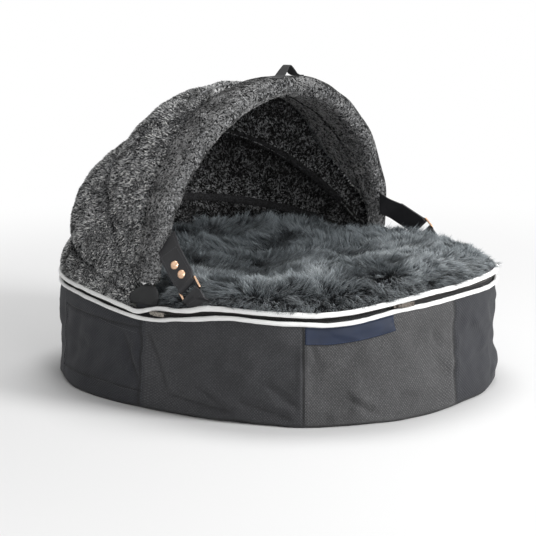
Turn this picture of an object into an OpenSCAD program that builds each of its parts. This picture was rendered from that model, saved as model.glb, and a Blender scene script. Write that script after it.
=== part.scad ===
/* [Bed] */
// Length of the bed over its wall seam line, front to rear
bed_length = 636; // [560:2:720]
// Width of the bed over its wall seam line
bed_width = 566; // [500:2:640]
// Squareness of the bed's outline, 2 is an ellipse
outline_square = 2.37; // [2.1:0.01:2.8]
// Height of the lower piping, averaged round the rim
wall_height = 139.3; // [125:0.1:160]
// Rise of the rim from its middle to the front
front_lift = 9.3; // [0:0.1:14]
// Dip of the rim at the two sides
side_dip = 7.8; // [0:0.1:12]
// Outward swell of the filled wall
wall_swell = 4; // [0:0.5:10]
// Thickness of the wall cloth with its lining
wall_cloth = 2.5; // [1.5:0.1:4]
// How far the wall turns in under the bed
bottom_turn = 9; // [5:0.5:14]
// Height of the rounding at the bottom edge
bottom_rise = 13; // [8:1:24]

/* [Zip and piping] */
// Diameter of the lower piping
lower_piping_d = 7.5; // [6:0.1:8]
// Diameter of the upper piping
upper_piping_d = 8.5; // [7:0.1:9]
// Height from the lower piping to the upper one, centre to centre
piping_step = 13.5; // [13:0.1:16]
// Thickness of the zip tape
tape_t = 1.2; // [0.8:0.1:1.6]
// Diameter of the zip's coil
coil_d = 3; // [2.4:0.1:3.2]
// Length of a zip slider's body
slider_len = 12; // [10:0.5:14]
// Length of a zip slider's pull
pull_len = 24; // [16:1:30]

/* [Filling and top] */
// Thickness of the inner bag's cloth
liner_cloth = 1.2; // [0.8:0.1:2]
// Thickness of the wadding pad under the pile top
pad_height = 25; // [15:1:40]
// Depth of the wadding pad's top under the mean height of the lower piping
pad_drop = 3.2; // [1:0.1:12]
// Height of the pile top's edge over the upper piping
pile_edge_rise = 25; // [15:1:30]
// Height of the pile top's crest over the upper piping
pile_crest_rise = 42; // [30:1:50]
// Depth of the hollow in the middle of the pile top
nest_depth = 14; // [0:1:25]

/* [Hood] */
// Distance of the hood's pivots behind the bed's middle
pivot_back = 16; // [0:1:40]
// Height of the hood's pivots over the rim at the side
pivot_rise = 18.9; // [18:0.1:22]
// Rise of the front roll's middle over the pivots
front_rise = 273; // [240:1:300]
// Rise of the middle seam over the pivots
middle_rise = 277; // [244:1:304]
// Rise of the rear seam over the pivots
rear_rise = 284; // [250:1:305]
// Lean of the front bow, forward of upright
front_lean = 5.5; // [0:0.5:12]
// Turn of the groove behind the front band, back from upright
groove_turn = 6; // [4:0.5:12]
// Turn of the middle bow, back from upright
middle_turn = 45; // [36:1:52]
// Turn of the rear bow, back from upright
rear_turn = 76; // [70:1:80]
// Thickness of the hood's looped fleece
hood_cloth = 6; // [4:0.5:8]
// Radius of the padded roll at the hood's front edge
roll_r = 17; // [12:0.5:20]
// Swell of the hood between its front groove and its middle seam
front_lobe = 16; // [6:1:24]
// Swell of the hood between its middle and rear seams
middle_lobe = 17; // [6:1:24]
// Swell of the hood's skirt over the rim
skirt_lobe = 14; // [6:1:20]

/* [Bows and pivots] */
// Thickness of a sprung bow
bow_t = 2; // [1.6:0.1:2.4]
// Width of a sprung bow
bow_w = 8; // [6:0.5:9]
// Distance from one bow to the next at the pivots
bow_pitch = 4.5; // [4.4:0.1:6]
// Radius of a bow's eye
eye_r = 8; // [6.5:0.5:9]
// Radius of the pivot pin
pin_r = 3; // [2.5:0.1:3.5]
// Thickness of the pivot bracket's plate
bracket_t = 2.5; // [2:0.1:3.5]
// Width of the pivot bracket's plate
bracket_w = 26; // [20:1:32]

/* [Straps] */
// Width of the leather straps
strap_w = 34; // [24:1:38]
// Thickness of one layer of leather
leather_t = 1.6; // [1.2:0.1:2]
// Length of a front strap from its ring to the hood
strap_len = 88; // [76:1:96]
// Tilt of a front strap back from upright
strap_tilt = 43; // [30:0.1:50]
// Lean of a front strap in towards the hood
strap_lean = 6.5; // [4:0.1:9]
// Diameter of a ring's wire
ring_wire = 3; // [2.4:0.1:3.4]
// Height of a ring between its two bars
ring_height = 15; // [12:0.5:18]
// Diameter of a dome stud
stud_d = 12.5; // [9:0.5:15]
// Height of a dome stud over the leather
stud_rise = 3.2; // [2:0.1:4]
// Spread of the carry loop between its feet
loop_span = 54; // [40:1:70]
// Height of the carry loop
loop_height = 15; // [10:0.5:22]
// Width of the carry loop's webbing
loop_w = 18; // [10:1:26]

/* [Label] */
// Length of the bare side label
label_len = 140; // [80:1:150]
// Height of the bare side label
label_h = 26; // [16:1:34]
// Thickness of the bare side label
label_t = 1; // [0.6:0.1:1.6]

/* [Hidden] */

// Clearances: the gap between soft pieces, and the running fit of a pin
gap = 0.3;
run_fit = 0.05;
overrun = 1;

// Half sizes of the outline
half_l = bed_length / 2;
half_w = bed_width / 2;

// Steps round the rim, and the sides of a piping
rim_steps = 64;
piping_sides = 8;
cord_sides = 6;

// Layers inward from the outline at the rim
piping_in = 1.5;
tape_in = piping_in + upper_piping_d / 2 + gap / 2;
tape_back = tape_in + tape_t;
coil_mid_z = piping_step / 2;
tape_inner_edge = coil_d / 2 + gap / 2;
tape_lower_z = -lower_piping_d * 0.8;
stack_top = piping_step + upper_piping_d / 2;

// A signed power, which keeps the sign of what it raises
function spow(v, e) = sign(v) * pow(abs(v), e);

// The outline: its point and its outward direction at a turn a
function out_x(a) = half_w * spow(cos(a), 2 / outline_square);
function out_y(a) = half_l * spow(sin(a), 2 / outline_square);
function out_dir(a) =
    let (nx = spow(cos(a), 2 - 2 / outline_square) / half_w)
    let (ny = spow(sin(a), 2 - 2 / outline_square) / half_l)
    [nx, ny] / norm([nx, ny]);
function out_pt(a, inset) = [out_x(a), out_y(a)] - inset * out_dir(a);

// Height of the rim at a turn a, and a point set in from it and above it
function rim_h(a) =
    wall_height - front_lift * out_y(a) / half_l - side_dip * cos(2 * atan2(out_y(a), out_x(a)));
function rim_pt(a, inset, rise) =
    let (p = out_pt(a, inset)) [p[0], p[1], rim_h(a) + rise];
function rim_slope(a) =
    let (p = rim_pt(a - 1, 0, 0), q = rim_pt(a + 1, 0, 0))
    atan2(q[2] - p[2], norm([q[0] - p[0], q[1] - p[1]]));

// Faces that sew a row of equal sections into a tube, and the caps of its ends
function side_faces(n, m, closed) = [
    for (i = [0:(closed ? n - 1 : n - 2)], j = [0:m - 1])
    let (a = i * m + j, b = i * m + (j + 1) % m)
    let (k = (i + 1) % n)
    let (c = k * m + (j + 1) % m, d = k * m + j)
    each [[a, c, b], [a, d, c]]];
function strip_cap(first, m, flip) = [
    for (i = [0:m / 2 - 2])
    let (a = first + i, b = first + i + 1)
    let (c = first + m - 2 - i, d = first + m - 1 - i)
    each (flip ? [[a, c, b], [a, d, c]] : [[a, b, c], [a, c, d]])];
function join(lists) = [for (l = lists) each l];
function flipped(faces) = [for (f = faces) [f[0], f[2], f[1]]];

// A closed ring of sections
module ring_sweep(sections) {
    n = len(sections);
    m = len(sections[0]);
    polyhedron(join(sections), flipped(side_faces(n, m, true)));
}

// An open run of sections that are folded strips, capped at both ends
module strip_sweep(sections) {
    n = len(sections);
    m = len(sections[0]);
    polyhedron(join(sections), concat(side_faces(n, m, false), strip_cap(0, m, false),
        strip_cap((n - 1) * m, m, true)));
}

// An open run of hollow sections, with the outer ring first and as many points inside
function hollow_cap(first, inner, m, flip) = [
    for (j = [0:m - 1])
    let (a = first + j, b = first + (j + 1) % m)
    let (c = inner + (j + 1) % m, d = inner + j)
    each (flip ? [[a, c, b], [a, d, c]] : [[a, b, c], [a, c, d]])];
module hollow_sweep(outer, inner) {
    n = len(outer);
    m = len(outer[0]);
    inner_faces = [for (f = flipped(side_faces(n, m, false))) f + [1, 1, 1] * n * m];
    polyhedron(concat(join(outer), join(inner)), concat(side_faces(n, m, false), inner_faces,
        hollow_cap(0, n * m, m, false), hollow_cap((n - 1) * m, n * m + (n - 1) * m, m, true)));
}

// A round section at the rim, for the pipings and the coil
function rim_circle(a, inset, rise, r, sides) = [
    for (j = [0:sides - 1])
    let (t = 360 * (j + 0.5) / sides)
    rim_pt(a, inset - r * cos(t), rise + r * sin(t))];
module rim_cord(inset, rise, r, sides) {
    ring_sweep([for (i = [0:rim_steps - 1]) rim_circle(360 * i / rim_steps, inset, rise, r, sides)]);
}
module rim_tape(inset, t, low, high) {
    ring_sweep([for (i = [0:rim_steps - 1]) let (a = 360 * i / rim_steps)
        [rim_pt(a, inset, low), rim_pt(a, inset, high),
            rim_pt(a, inset + t, high), rim_pt(a, inset + t, low)]]);
}

// Bed wall: inset and height shares of the profile, from the bottom turn up to the rim
wall_in_shares = [1, 0.3, 0, 0, 0, 0, 0];
wall_swell_shares = [0, 0, 0.1, 0.8, 1, 0.45, 0];
wall_z_shares = [0, 0, 0, 0.4, 0.62, 0.88, 1];
wall_round_shares = [0, 0.2, 1, 0, 0, 0, 0];
wall_back_shares = [0, 0.7, 1, 1, 1, 1, 1];
wall_lift_shares = [1, 0.8, 0, 0, 0, 0, 0];
wall_levels = len(wall_z_shares);
function wall_pt(a, k, inside) =
    let (top = rim_h(a) - lower_piping_d / 2)
    let (d = bottom_turn * wall_in_shares[k] - wall_swell * wall_swell_shares[k])
    let (p = out_pt(a, d + (inside ? wall_cloth * wall_back_shares[k] : 0)))
    let (z = top * wall_z_shares[k] + bottom_rise * wall_round_shares[k])
    [p[0], p[1], z + (inside ? wall_cloth * wall_lift_shares[k] : 0)];
function wall_section(a) = concat([for (k = [0:wall_levels - 1]) wall_pt(a, k, false)],
    [for (k = [wall_levels - 1:-1:0]) wall_pt(a, k, true)]);
module wall_run(from, to, steps) {
    strip_sweep([for (i = [0:steps]) wall_section(to + (from - to) * i / steps)]);
}
function run_turns(from, to, steps) = [for (i = [0:steps - 1]) from + (to - from) * i / steps];

// Turns of the wall's seams from the middle of its front, and round the outline
corner_turn = 48.5;
seam_turn = 92;
left_corner_turn = 270 - corner_turn;
left_seam_turn = 270 - seam_turn;
right_corner_turn = 270 + corner_turn;
right_seam_turn = 270 + seam_turn;
panel_steps = 9;
rear_steps = panel_steps + 3;
wall_turns = concat(run_turns(180 - left_seam_turn, 90, rear_steps), run_turns(90, left_seam_turn, rear_steps),
    run_turns(left_seam_turn, left_corner_turn, panel_steps), run_turns(left_corner_turn, 270, panel_steps),
    run_turns(270, right_corner_turn, panel_steps),
    run_turns(right_corner_turn, right_seam_turn, panel_steps));

function outline_pts(inset, steps) = [for (i = [0:steps - 1]) out_pt(360 * i / steps, inset)];
prism_steps = 72;

module base_panel() {
    color("#2c2d30")
    linear_extrude(wall_cloth)
    polygon([for (a = wall_turns) out_pt(a, bottom_turn)]);
}
module wall_front_left() {
    color("#3b3c3f") wall_run(left_corner_turn, 270, panel_steps);
}
module wall_front_right() {
    color("#3b3c3f") wall_run(270, right_corner_turn, panel_steps);
}
module wall_side_left() {
    color("#393b3f") wall_run(left_seam_turn, left_corner_turn, panel_steps);
}
module wall_side_right() {
    color("#393b3f") wall_run(right_corner_turn, right_seam_turn, panel_steps);
}
module wall_rear_left() {
    color("#35373c") wall_run(90, left_seam_turn, rear_steps);
}
module wall_rear_right() {
    color("#35373c") wall_run(180 - left_seam_turn, 90, rear_steps);
}
module lower_piping() {
    color("#e8e8e8") rim_cord(piping_in, 0, lower_piping_d / 2, piping_sides);
}
module upper_piping() {
    color("#ececec") rim_cord(piping_in, piping_step, upper_piping_d / 2, piping_sides);
}
module zip_tape_lower() {
    color("#1d1d1f") rim_tape(tape_in, tape_t, tape_lower_z, coil_mid_z - tape_inner_edge);
}
module zip_tape_upper() {
    color("#1d1d1f") rim_tape(tape_in, tape_t, coil_mid_z + tape_inner_edge, stack_top);
}
module zip_coil() {
    color("#2a2a2c") rim_cord(tape_in + tape_t / 2, coil_mid_z, coil_d / 2, cord_sides);
}

// Bare label, which hangs from the lower piping over the front corner seam
label_lead_turn = 48;
label_start_turn = 270 - label_lead_turn;
label_turn = label_len / (half_l + half_w) * 2 * 180 / PI;
label_steps = 8;
module label_tab() {
    top = -lower_piping_d / 2 - gap;
    low = top - label_h;
    // Insets of its back at the top and at the bottom, where the wall swells
    high_in = -gap;
    low_in = -gap - wall_swell * 0.63;
    color("#2b3a55")
    strip_sweep([for (i = [0:label_steps]) let (a = label_start_turn + label_turn * i / label_steps)
        [rim_pt(a, low_in, low), rim_pt(a, high_in, top),
            rim_pt(a, high_in - label_t, top), rim_pt(a, low_in - label_t, low)]]);
}

// Filling: the inner bag, which is filled up to the wadding pad, its beads and the pad
pad_top = wall_height - pad_drop;
pad_low = pad_top - pad_height;
liner_low = wall_cloth + gap;
liner_height = pad_low - gap - liner_low;
liner_in = bottom_turn + gap;
module liner_bag() {
    color("#d8d8d4")
    difference() {
        translate([0, 0, liner_low]) linear_extrude(liner_height) polygon(outline_pts(liner_in, prism_steps));
        translate([0, 0, liner_low + liner_cloth])
        linear_extrude(liner_height - 2 * liner_cloth)
        polygon(outline_pts(liner_in + liner_cloth, prism_steps));
    }
}
module bean_filling() {
    low = liner_low + liner_cloth;
    color("#f2f2ee")
    translate([0, 0, low + gap])
    linear_extrude(liner_height - 2 * liner_cloth - 2 * gap)
    polygon(outline_pts(liner_in + liner_cloth + gap, prism_steps));
}
pad_in = tape_back + gap * 4;
module pivot_pockets(low, high) {
    for (side = [-1, 1])
    translate([side * (half_w - pocket_in / 2 + overrun), pivot_y, (low + high) / 2])
    cube([pocket_in + 2 * overrun, pocket_w, high - low], center = true);
}
module wadding_pad() {
    color("#e6e6e2")
    difference() {
        translate([0, 0, pad_low]) linear_extrude(pad_height) polygon(outline_pts(pad_in, prism_steps));
        pivot_pockets(pad_low - overrun, pad_top + overrun);
    }
}

// Pivots: where they lie and how the bows stack on them, from the rim inward
pivot_y = pivot_back;
side_turn = asin(pow(abs(pivot_back) / half_l, outline_square / 2));
pivot_z = rim_h(side_turn) + pivot_rise;
// The bracket's plate lies flat against the inside of the coil, whose run is straight there
rim_turn = 360 / rim_steps;
coil_back = tape_in + tape_t / 2 + coil_d / 2;
rim_run_in = (half_w - out_x(rim_turn)) * (pivot_back + bracket_w / 2) / out_y(rim_turn);
bracket_x = half_w - rim_run_in - coil_back - gap;
washer_t = bow_pitch - bow_t - 2 * run_fit;
boss_t = washer_t * 2;
rear_bow_x = bracket_x - bracket_t - boss_t - run_fit - bow_t / 2;
middle_bow_x = rear_bow_x - bow_pitch;
front_bow_x = middle_bow_x - bow_pitch;
pin_head_t = 2;
pin_head_r = pin_r * 1.8;
bracket_drop = 24;
pocket_in = half_w - front_bow_x + bow_t + pin_head_t + overrun;
pocket_w = bracket_w + 4 * gap;
washer_r = eye_r * 0.85;

// A cylinder along X from one place to another, at the pivot
module across(x0, x1, r) {
    translate([min(x0, x1), pivot_y, pivot_z]) rotate([0, 90, 0]) cylinder(h = abs(x1 - x0), r = r, $fn = 48);
}
module pivot_bracket() {
    head_x = front_bow_x - bow_t / 2 - run_fit;
    union() {
        across(bracket_x - bracket_t, bracket_x, bracket_w / 2);
        translate([bracket_x - bracket_t, pivot_y - bracket_w / 2, pivot_z - bracket_drop])
        cube([bracket_t, bracket_w, bracket_drop]);
        across(bracket_x - bracket_t - boss_t, bracket_x - bracket_t, washer_r);
        across(head_x, bracket_x - bracket_t, pin_r);
        across(head_x - pin_head_t, head_x, pin_head_r);
    }
}
module pivot_washers() {
    for (x = [front_bow_x, middle_bow_x])
    difference() {
        across(x + bow_t / 2 + run_fit, x + bow_t / 2 + run_fit + washer_t, washer_r);
        across(x, x + bow_pitch, pin_r + run_fit);
    }
}
module pivot_bracket_left() {
    color("#222326") mirror([1, 0, 0]) pivot_bracket();
}
module pivot_bracket_right() {
    color("#222326") pivot_bracket();
}
module pivot_washers_left() {
    color("#e0e0dc") mirror([1, 0, 0]) pivot_washers();
}
module pivot_washers_right() {
    color("#e0e0dc") pivot_washers();
}

// Black cloth patch over the hood's foot, a half round outside the bracket
patch_t = 1.6;
foot_r = 29;
module foot_patch() {
    low = max(pivot_z, rim_h(side_turn) + stack_top) + gap;
    intersection() {
        across(bracket_x + gap, bracket_x + gap + patch_t, foot_r);
        translate([bracket_x, pivot_y - foot_r, low]) cube([patch_t + 2 * gap, foot_r * 2, foot_r + overrun]);
    }
}
module foot_patch_left() {
    color("#242527") mirror([1, 0, 0]) foot_patch();
}
module foot_patch_right() {
    color("#242527") foot_patch();
}

// A bow: a flat strip along an arch, which starts above its eye
// Its arch has a half width w, a rise r over the pivots and a power p
bow_steps = 24;
tang = eye_r * 1.5;
function arch_u(u, w, r, p, low) =
    [w * spow(cos(u), 2 / p), low + (r - low) * pow(abs(sin(u)), 2 / p)];
function arch_n(u, w, r, p) =
    let (nx = spow(cos(u), 2 - 2 / p) / w, nr = pow(abs(sin(u)), 2 - 2 / p) / r)
    [nx, nr] / norm([nx, nr]);
// A point at turn t, from its place q = [x, rise] in the fan's plane and b out of it
function fan_pt(q, t, b) =
    [q[0], pivot_y + q[1] * sin(t) + b * cos(t), pivot_z + q[1] * cos(t) - b * sin(t)];
function bow_section(u, t, w, r, p, low, out, half) =
    let (q = arch_u(u, w, r, p, low), n = arch_n(u, w, r, p))
    [fan_pt(q + n * out, t, -half), fan_pt(q + n * out, t, half),
        fan_pt(q - n * out, t, half), fan_pt(q - n * out, t, -half)];
function bow_turn(i) = 180 * i / bow_steps;
module bow(t, w, r, p) {
    strip_sweep([for (i = [0:bow_steps]) bow_section(bow_turn(i), t, w, r, p, tang, bow_t / 2, bow_w / 2)]);
}
module bow_eyes(t, w) {
    for (side = [-1, 1])
    difference() {
        union() {
            across(side * (w - bow_t / 2), side * (w + bow_t / 2), eye_r);
            translate([side * w, pivot_y, pivot_z])
            rotate([-t, 0, 0])
            translate([0, 0, tang / 2])
            cube([bow_t, bow_w, tang], center = true);
        }
        across(side * (w - bow_t), side * (w + bow_t), pin_r + run_fit);
    }
}
// A sleeve round a bow, clear of the pivots
sleeve_t = 0.8;
sleeve_skip_steps = 2;
module bow_sleeve(t, w, r, p) {
    in_t = bow_t / 2 + gap;
    in_w = bow_w / 2 + gap;
    turns = [for (i = [sleeve_skip_steps:bow_steps - sleeve_skip_steps]) bow_turn(i)];
    hollow_sweep([for (u = turns) bow_section(u, t, w, r, p, tang, in_t + sleeve_t, in_w + sleeve_t)],
        [for (u = turns) bow_section(u, t, w, r, p, tang, in_t, in_w)]);
}

// Places of the bows under the hood's seams
sleeve_out = bow_t / 2 + gap + sleeve_t;
seam_over = sleeve_out + gap + hood_cloth;
roll_over = 8;
front_power = 2;
middle_power = 2.05;
rear_power = 2.25;
front_bow_r = front_rise - roll_over;
middle_bow_r = middle_rise - seam_over;
rear_bow_r = rear_rise - seam_over;
front_w = front_bow_x + roll_over;
groove_w = middle_bow_x + seam_over;
groove_rise = front_rise + hood_cloth / 2;
middle_w = middle_bow_x + seam_over;
rear_w = rear_bow_x + seam_over;

module front_bow() {
    color("#d9d2bd") bow(-front_lean, front_bow_x, front_bow_r, front_power);
}
module middle_bow() {
    color("#d9d2bd") bow(middle_turn, middle_bow_x, middle_bow_r, middle_power);
}
module rear_bow() {
    color("#d9d2bd") bow(rear_turn, rear_bow_x, rear_bow_r, rear_power);
}
module front_bow_eyes() {
    color("#1f2022") bow_eyes(-front_lean, front_bow_x);
}
module middle_bow_eyes() {
    color("#1f2022") bow_eyes(middle_turn, middle_bow_x);
}
module rear_bow_eyes() {
    color("#1f2022") bow_eyes(rear_turn, rear_bow_x);
}
module middle_bow_sleeve() {
    color("#2b2b2d") bow_sleeve(middle_turn, middle_bow_x, middle_bow_r, middle_power);
}
module rear_bow_sleeve() {
    color("#2b2b2d") bow_sleeve(rear_turn, rear_bow_x, rear_bow_r, rear_power);
}

// Hood cloth between two seams: a shell that swells outwards, over the same arches as the bows
lobe_levels = 6;
function mix(a, b, f) = a + (b - a) * f;
// Turns of an arch from its foot, which is a foot's radius over the pivots
function foot_turn(r, p) = asin(pow((foot_r + gap - tang) / (r - tang), p / 2));
function cloth_turns(u0) = concat([u0], [for (i = [1:bow_steps - 1]) bow_turn(i)], [180 - u0]);
function lobe_pt(u, f, a, b, swell, inside) =
    let (s = pow(sin(180 * f), 0.8), c = inside ? hood_cloth : 0)
    let (t = mix(a[0], b[0], f), w = mix(a[1], b[1], f) + swell * 0.5 * s * min(1, 2 * sin(u)) - c)
    let (r = mix(a[2], b[2], f) + swell * s - c, p = mix(a[3], b[3], f))
    fan_pt(arch_u(u, w, r, p, tang), t, f == 0 ? gap / 2 : f == 1 ? -gap / 2 : 0);
module lobe(a, b, swell) {
    u0 = foot_turn(min(a[2], b[2]), min(a[3], b[3]));
    strip_sweep([for (u = cloth_turns(u0))
        concat([for (k = [0:lobe_levels]) lobe_pt(u, k / lobe_levels, a, b, swell, false)],
            [for (k = [lobe_levels:-1:0]) lobe_pt(u, k / lobe_levels, a, b, swell, true)])]);
}
groove_seam = [groove_turn, groove_w, groove_rise, front_power];
middle_seam = [middle_turn, middle_w, middle_rise, middle_power];
rear_seam = [rear_turn, rear_w, rear_rise, rear_power];
module hood_panel_front() {
    color("#6b6b6c") lobe(groove_seam, middle_seam, front_lobe);
}
module hood_panel_rear() {
    color("#68686a") lobe(middle_seam, rear_seam, middle_lobe);
}

// Skirt from the rear seam down to the rim
rim_overhang = 2;
skirt_levels = 5;
// The rim's turn under a place of the rear seam, at the same share of its run back
function rear_turn_at(u) =
    let (q = arch_u(u, rear_w, rear_rise, rear_power, tang))
    let (y = pivot_y + q[1] * (half_l - pivot_y) / rear_rise)
    let (a = asin(pow(y / half_l, outline_square / 2)))
    u > 90 ? 180 - a : a;
function skirt_pt(u, f, inside) =
    let (c = inside ? hood_cloth : 0)
    let (p = fan_pt(arch_u(u, rear_w - c, rear_rise - c, rear_power, tang), rear_turn, gap / 2))
    let (q = rim_pt(rear_turn_at(u), c - rim_overhang, stack_top + gap))
    let (n = arch_n(u, rear_w, rear_rise, rear_power), s = skirt_lobe * sin(180 * f) * min(1, 0.2 + sin(u)))
    mix(p, q, f) + s * [n[0], n[1] * sin(rear_turn), n[1] * cos(rear_turn)];
module hood_skirt() {
    u0 = foot_turn(rear_rise, rear_power);
    color("#646466")
    strip_sweep([for (u = cloth_turns(u0))
        concat([for (k = [0:skirt_levels]) skirt_pt(u, k / skirt_levels, false)],
            [for (k = [skirt_levels:-1:0]) skirt_pt(u, k / skirt_levels, true)])]);
}

// Front band: a padded roll round the front bow, which tapers back to the groove
// Each point is [share of the reach back, share of the roll forward, share of the roll outward]
roll_back_shares = [1, 0.72, 0.3, 0, 0, 0, 0, 0, 0, 0.4, 0.8, 1];
roll_front_shares = [0, 0, 0, 0.4, 0.86, 1, 0.86, 0.5, 0, 0, 0, 0];
roll_out_shares = [0.18, 0.8, 1.05, 0.95, 0.5, 0, -0.5, -0.86, -1, -0.94, -0.7, -0.17];
channel_back_shares = [1, 0.33, -0.33, -1, -1, -1, -1, -0.33, 0.33, 1, 1, 1];
channel_out_shares = [1, 1, 1, 1, 0.33, -0.33, -1, -1, -1, -1, -0.33, 0.33];
roll_points = len(roll_back_shares);
band_start_turn = 5;
function roll_pt(u, k) =
    let (n = arch_n(u, front_w, front_rise, front_power))
    let (q = arch_u(u, front_w, front_rise, front_power, tang) + n * roll_r * roll_out_shares[k])
    let (reach = q[1] * tan(groove_turn + front_lean) - gap / 2)
    fan_pt(q, -front_lean, reach * roll_back_shares[k] - roll_r * roll_front_shares[k]);
function channel_pt(u, k) =
    let (n = arch_n(u, front_bow_x, front_bow_r, front_power))
    let (q = arch_u(u, front_bow_x, front_bow_r, front_power, tang))
    fan_pt(q + n * (bow_t / 2 + 3 * gap) * channel_out_shares[k], -front_lean,
        (bow_w / 2 + gap) * channel_back_shares[k]);
module hood_front_band() {
    turns = cloth_turns(band_start_turn);
    last = len(turns) - 1;
    color("#77777a")
    hollow_sweep([for (i = [last:-1:0]) [for (k = [0:roll_points - 1]) roll_pt(turns[i], k)]],
        [for (i = [last:-1:0]) [for (k = [0:roll_points - 1]) channel_pt(turns[i], k)]]);
}

// Carry loop on the crown of the front band, an arched strip of webbing
webbing_t = 1.8;
loop_arc_r = (loop_span * loop_span / 4 + loop_height * loop_height) / (2 * loop_height);
// It stands on the ridge of the roll, whose crown falls away to the next place of the arch
loop_tilt = 8;
module carry_loop() {
    foot_l = loop_w * 0.5;
    ridge_turn = bow_turn(bow_steps / 2 - 1);
    fall_share = (1 - sin(ridge_turn)) / cos(ridge_turn);
    sag = (front_rise - tang) / front_w * (loop_span / 2 - foot_l / 2) * fall_share;
    color("#1c1d1f")
    translate([0, pivot_y, pivot_z])
    rotate([front_lean, 0, 0])
    translate([0, -roll_r * roll_front_shares[3], front_rise + roll_r * roll_out_shares[3] - sag + gap])
    rotate([loop_tilt, 0, 0])
    translate([0, loop_w * 0.6, 0])
    rotate([90, 0, 0])
    linear_extrude(loop_w)
    union() {
        intersection() {
            translate([0, loop_height - loop_arc_r])
            difference() {
                circle(r = loop_arc_r, $fn = 96);
                circle(r = loop_arc_r - webbing_t, $fn = 96);
            }
            translate([-loop_span / 2, 0]) square([loop_span, loop_height + overrun]);
        }
        for (side = [-1, 1])
        translate([side * (loop_span / 2 - webbing_t / 2) - foot_l / 2, 0]) square([foot_l, webbing_t]);
    }
}

// Straps: the place of a ring's lower bar, at the rim before the hood
anchor_front = 73;
anchor_turn = -asin(pow(anchor_front / half_l, outline_square / 2));
anchor_rise = stack_top + 19.5;
anchor_in = 7;
module at_anchor() {
    translate(rim_pt(anchor_turn, anchor_in, anchor_rise))
    rotate([-strap_tilt, 0, 0])
    rotate([0, -strap_lean, 0])
    children();
}
// Leather that hugs a bar, seen from the side, and the width it is drawn out to
loop_slack = 1;
eye_in = ring_wire / 2 + loop_slack;
eye_out = eye_in + leather_t;
module across_strap() {
    rotate([90, 0, 0]) translate([0, 0, -strap_w / 2]) linear_extrude(strap_w) children();
}
module strap_side(doubled, length) {
    difference() {
        union() {
            circle(r = eye_out, $fn = 40);
            translate([-leather_t, 0]) square([2 * leather_t, doubled]);
            translate([-leather_t, 0]) square([leather_t, length]);
        }
        circle(r = eye_in, $fn = 40);
    }
}
doubled_len = 56;
// The strap ends at the face of the hood's front roll, where it is sewn in
module front_strap() {
    face = roll_r + gap;
    intersection() {
        at_anchor()
        translate([0, 0, ring_height])
        across_strap()
        strap_side(doubled_len, strap_len + strap_w);
        translate([0, pivot_y, pivot_z])
        rotate([front_lean, 0, 0])
        translate([0, -face - half_l, -front_rise])
        cube([half_w, half_l, 2 * front_rise]);
    }
}
stud_shares = [0.32, 0.61];
module strap_studs() {
    dome_r = (stud_d * stud_d / 4 + stud_rise * stud_rise) / (2 * stud_rise);
    at_anchor()
    for (share = stud_shares)
    translate([leather_t, 0, ring_height + doubled_len * share])
    rotate([0, 90, 0])
    intersection() {
        cylinder(h = stud_rise, r = stud_d / 2, $fn = 48);
        translate([0, 0, stud_rise - dome_r]) sphere(r = dome_r, $fn = 64);
    }
}
module strap_ring() {
    half = strap_w / 2 + ring_wire / 2 + gap;
    r = ring_wire / 2;
    at_anchor() {
        for (z = [0, ring_height])
        translate([0, -half, z]) rotate([-90, 0, 0]) cylinder(h = 2 * half, r = r, $fn = 32);
        for (side = [-1, 1]) {
            translate([0, side * half, 0]) cylinder(h = ring_height, r = r, $fn = 32);
            for (z = [0, ring_height]) translate([0, side * half, z]) sphere(r = r, $fn = 32);
        }
    }
}
// The anchor strap hugs the lower bar and runs down to the rim, where it is cut along the piping
module anchor_strap() {
    foot = rim_pt(anchor_turn, anchor_in, stack_top + 2 * gap);
    wide = 2 * strap_w;
    intersection() {
        at_anchor() across_strap() mirror([0, 1]) strap_side(strap_w, strap_w);
        translate(foot)
        rotate([rim_slope(anchor_turn), 0, 0])
        translate([-wide / 2, -wide, 0])
        cube([wide, 2 * wide, wide]);
    }
}
module strap_ring_left() {
    color("#d9a58a") mirror([1, 0, 0]) strap_ring();
}
module strap_ring_right() {
    color("#d9a58a") strap_ring();
}
module anchor_strap_left() {
    color("#202022") mirror([1, 0, 0]) anchor_strap();
}
module anchor_strap_right() {
    color("#202022") anchor_strap();
}
module front_strap_left() {
    color("#232325") mirror([1, 0, 0]) front_strap();
}
module front_strap_right() {
    color("#232325") front_strap();
}
module strap_studs_left() {
    color("#d9a58a") mirror([1, 0, 0]) strap_studs();
}
module strap_studs_right() {
    color("#d9a58a") strap_studs();
}

// Pile top: rings of the closed form, from its underside out over the piping and to its crown
pile_steps = 48;
pile_in_front = 4;
pile_in_rear = 40;
pile_lip = stack_top + gap;
// The edge keeps back from the hood and its straps, and comes out to the rim at the front
function smooth(f) = let (g = max(0, min(1, f))) g * g * (3 - 2 * g);
function pile_back(a) = smooth((out_y(a) + half_l * 0.38) / (half_l * 0.41));
function pile_in(a) = mix(pile_in_front, pile_in_rear, pile_back(a));
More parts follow.
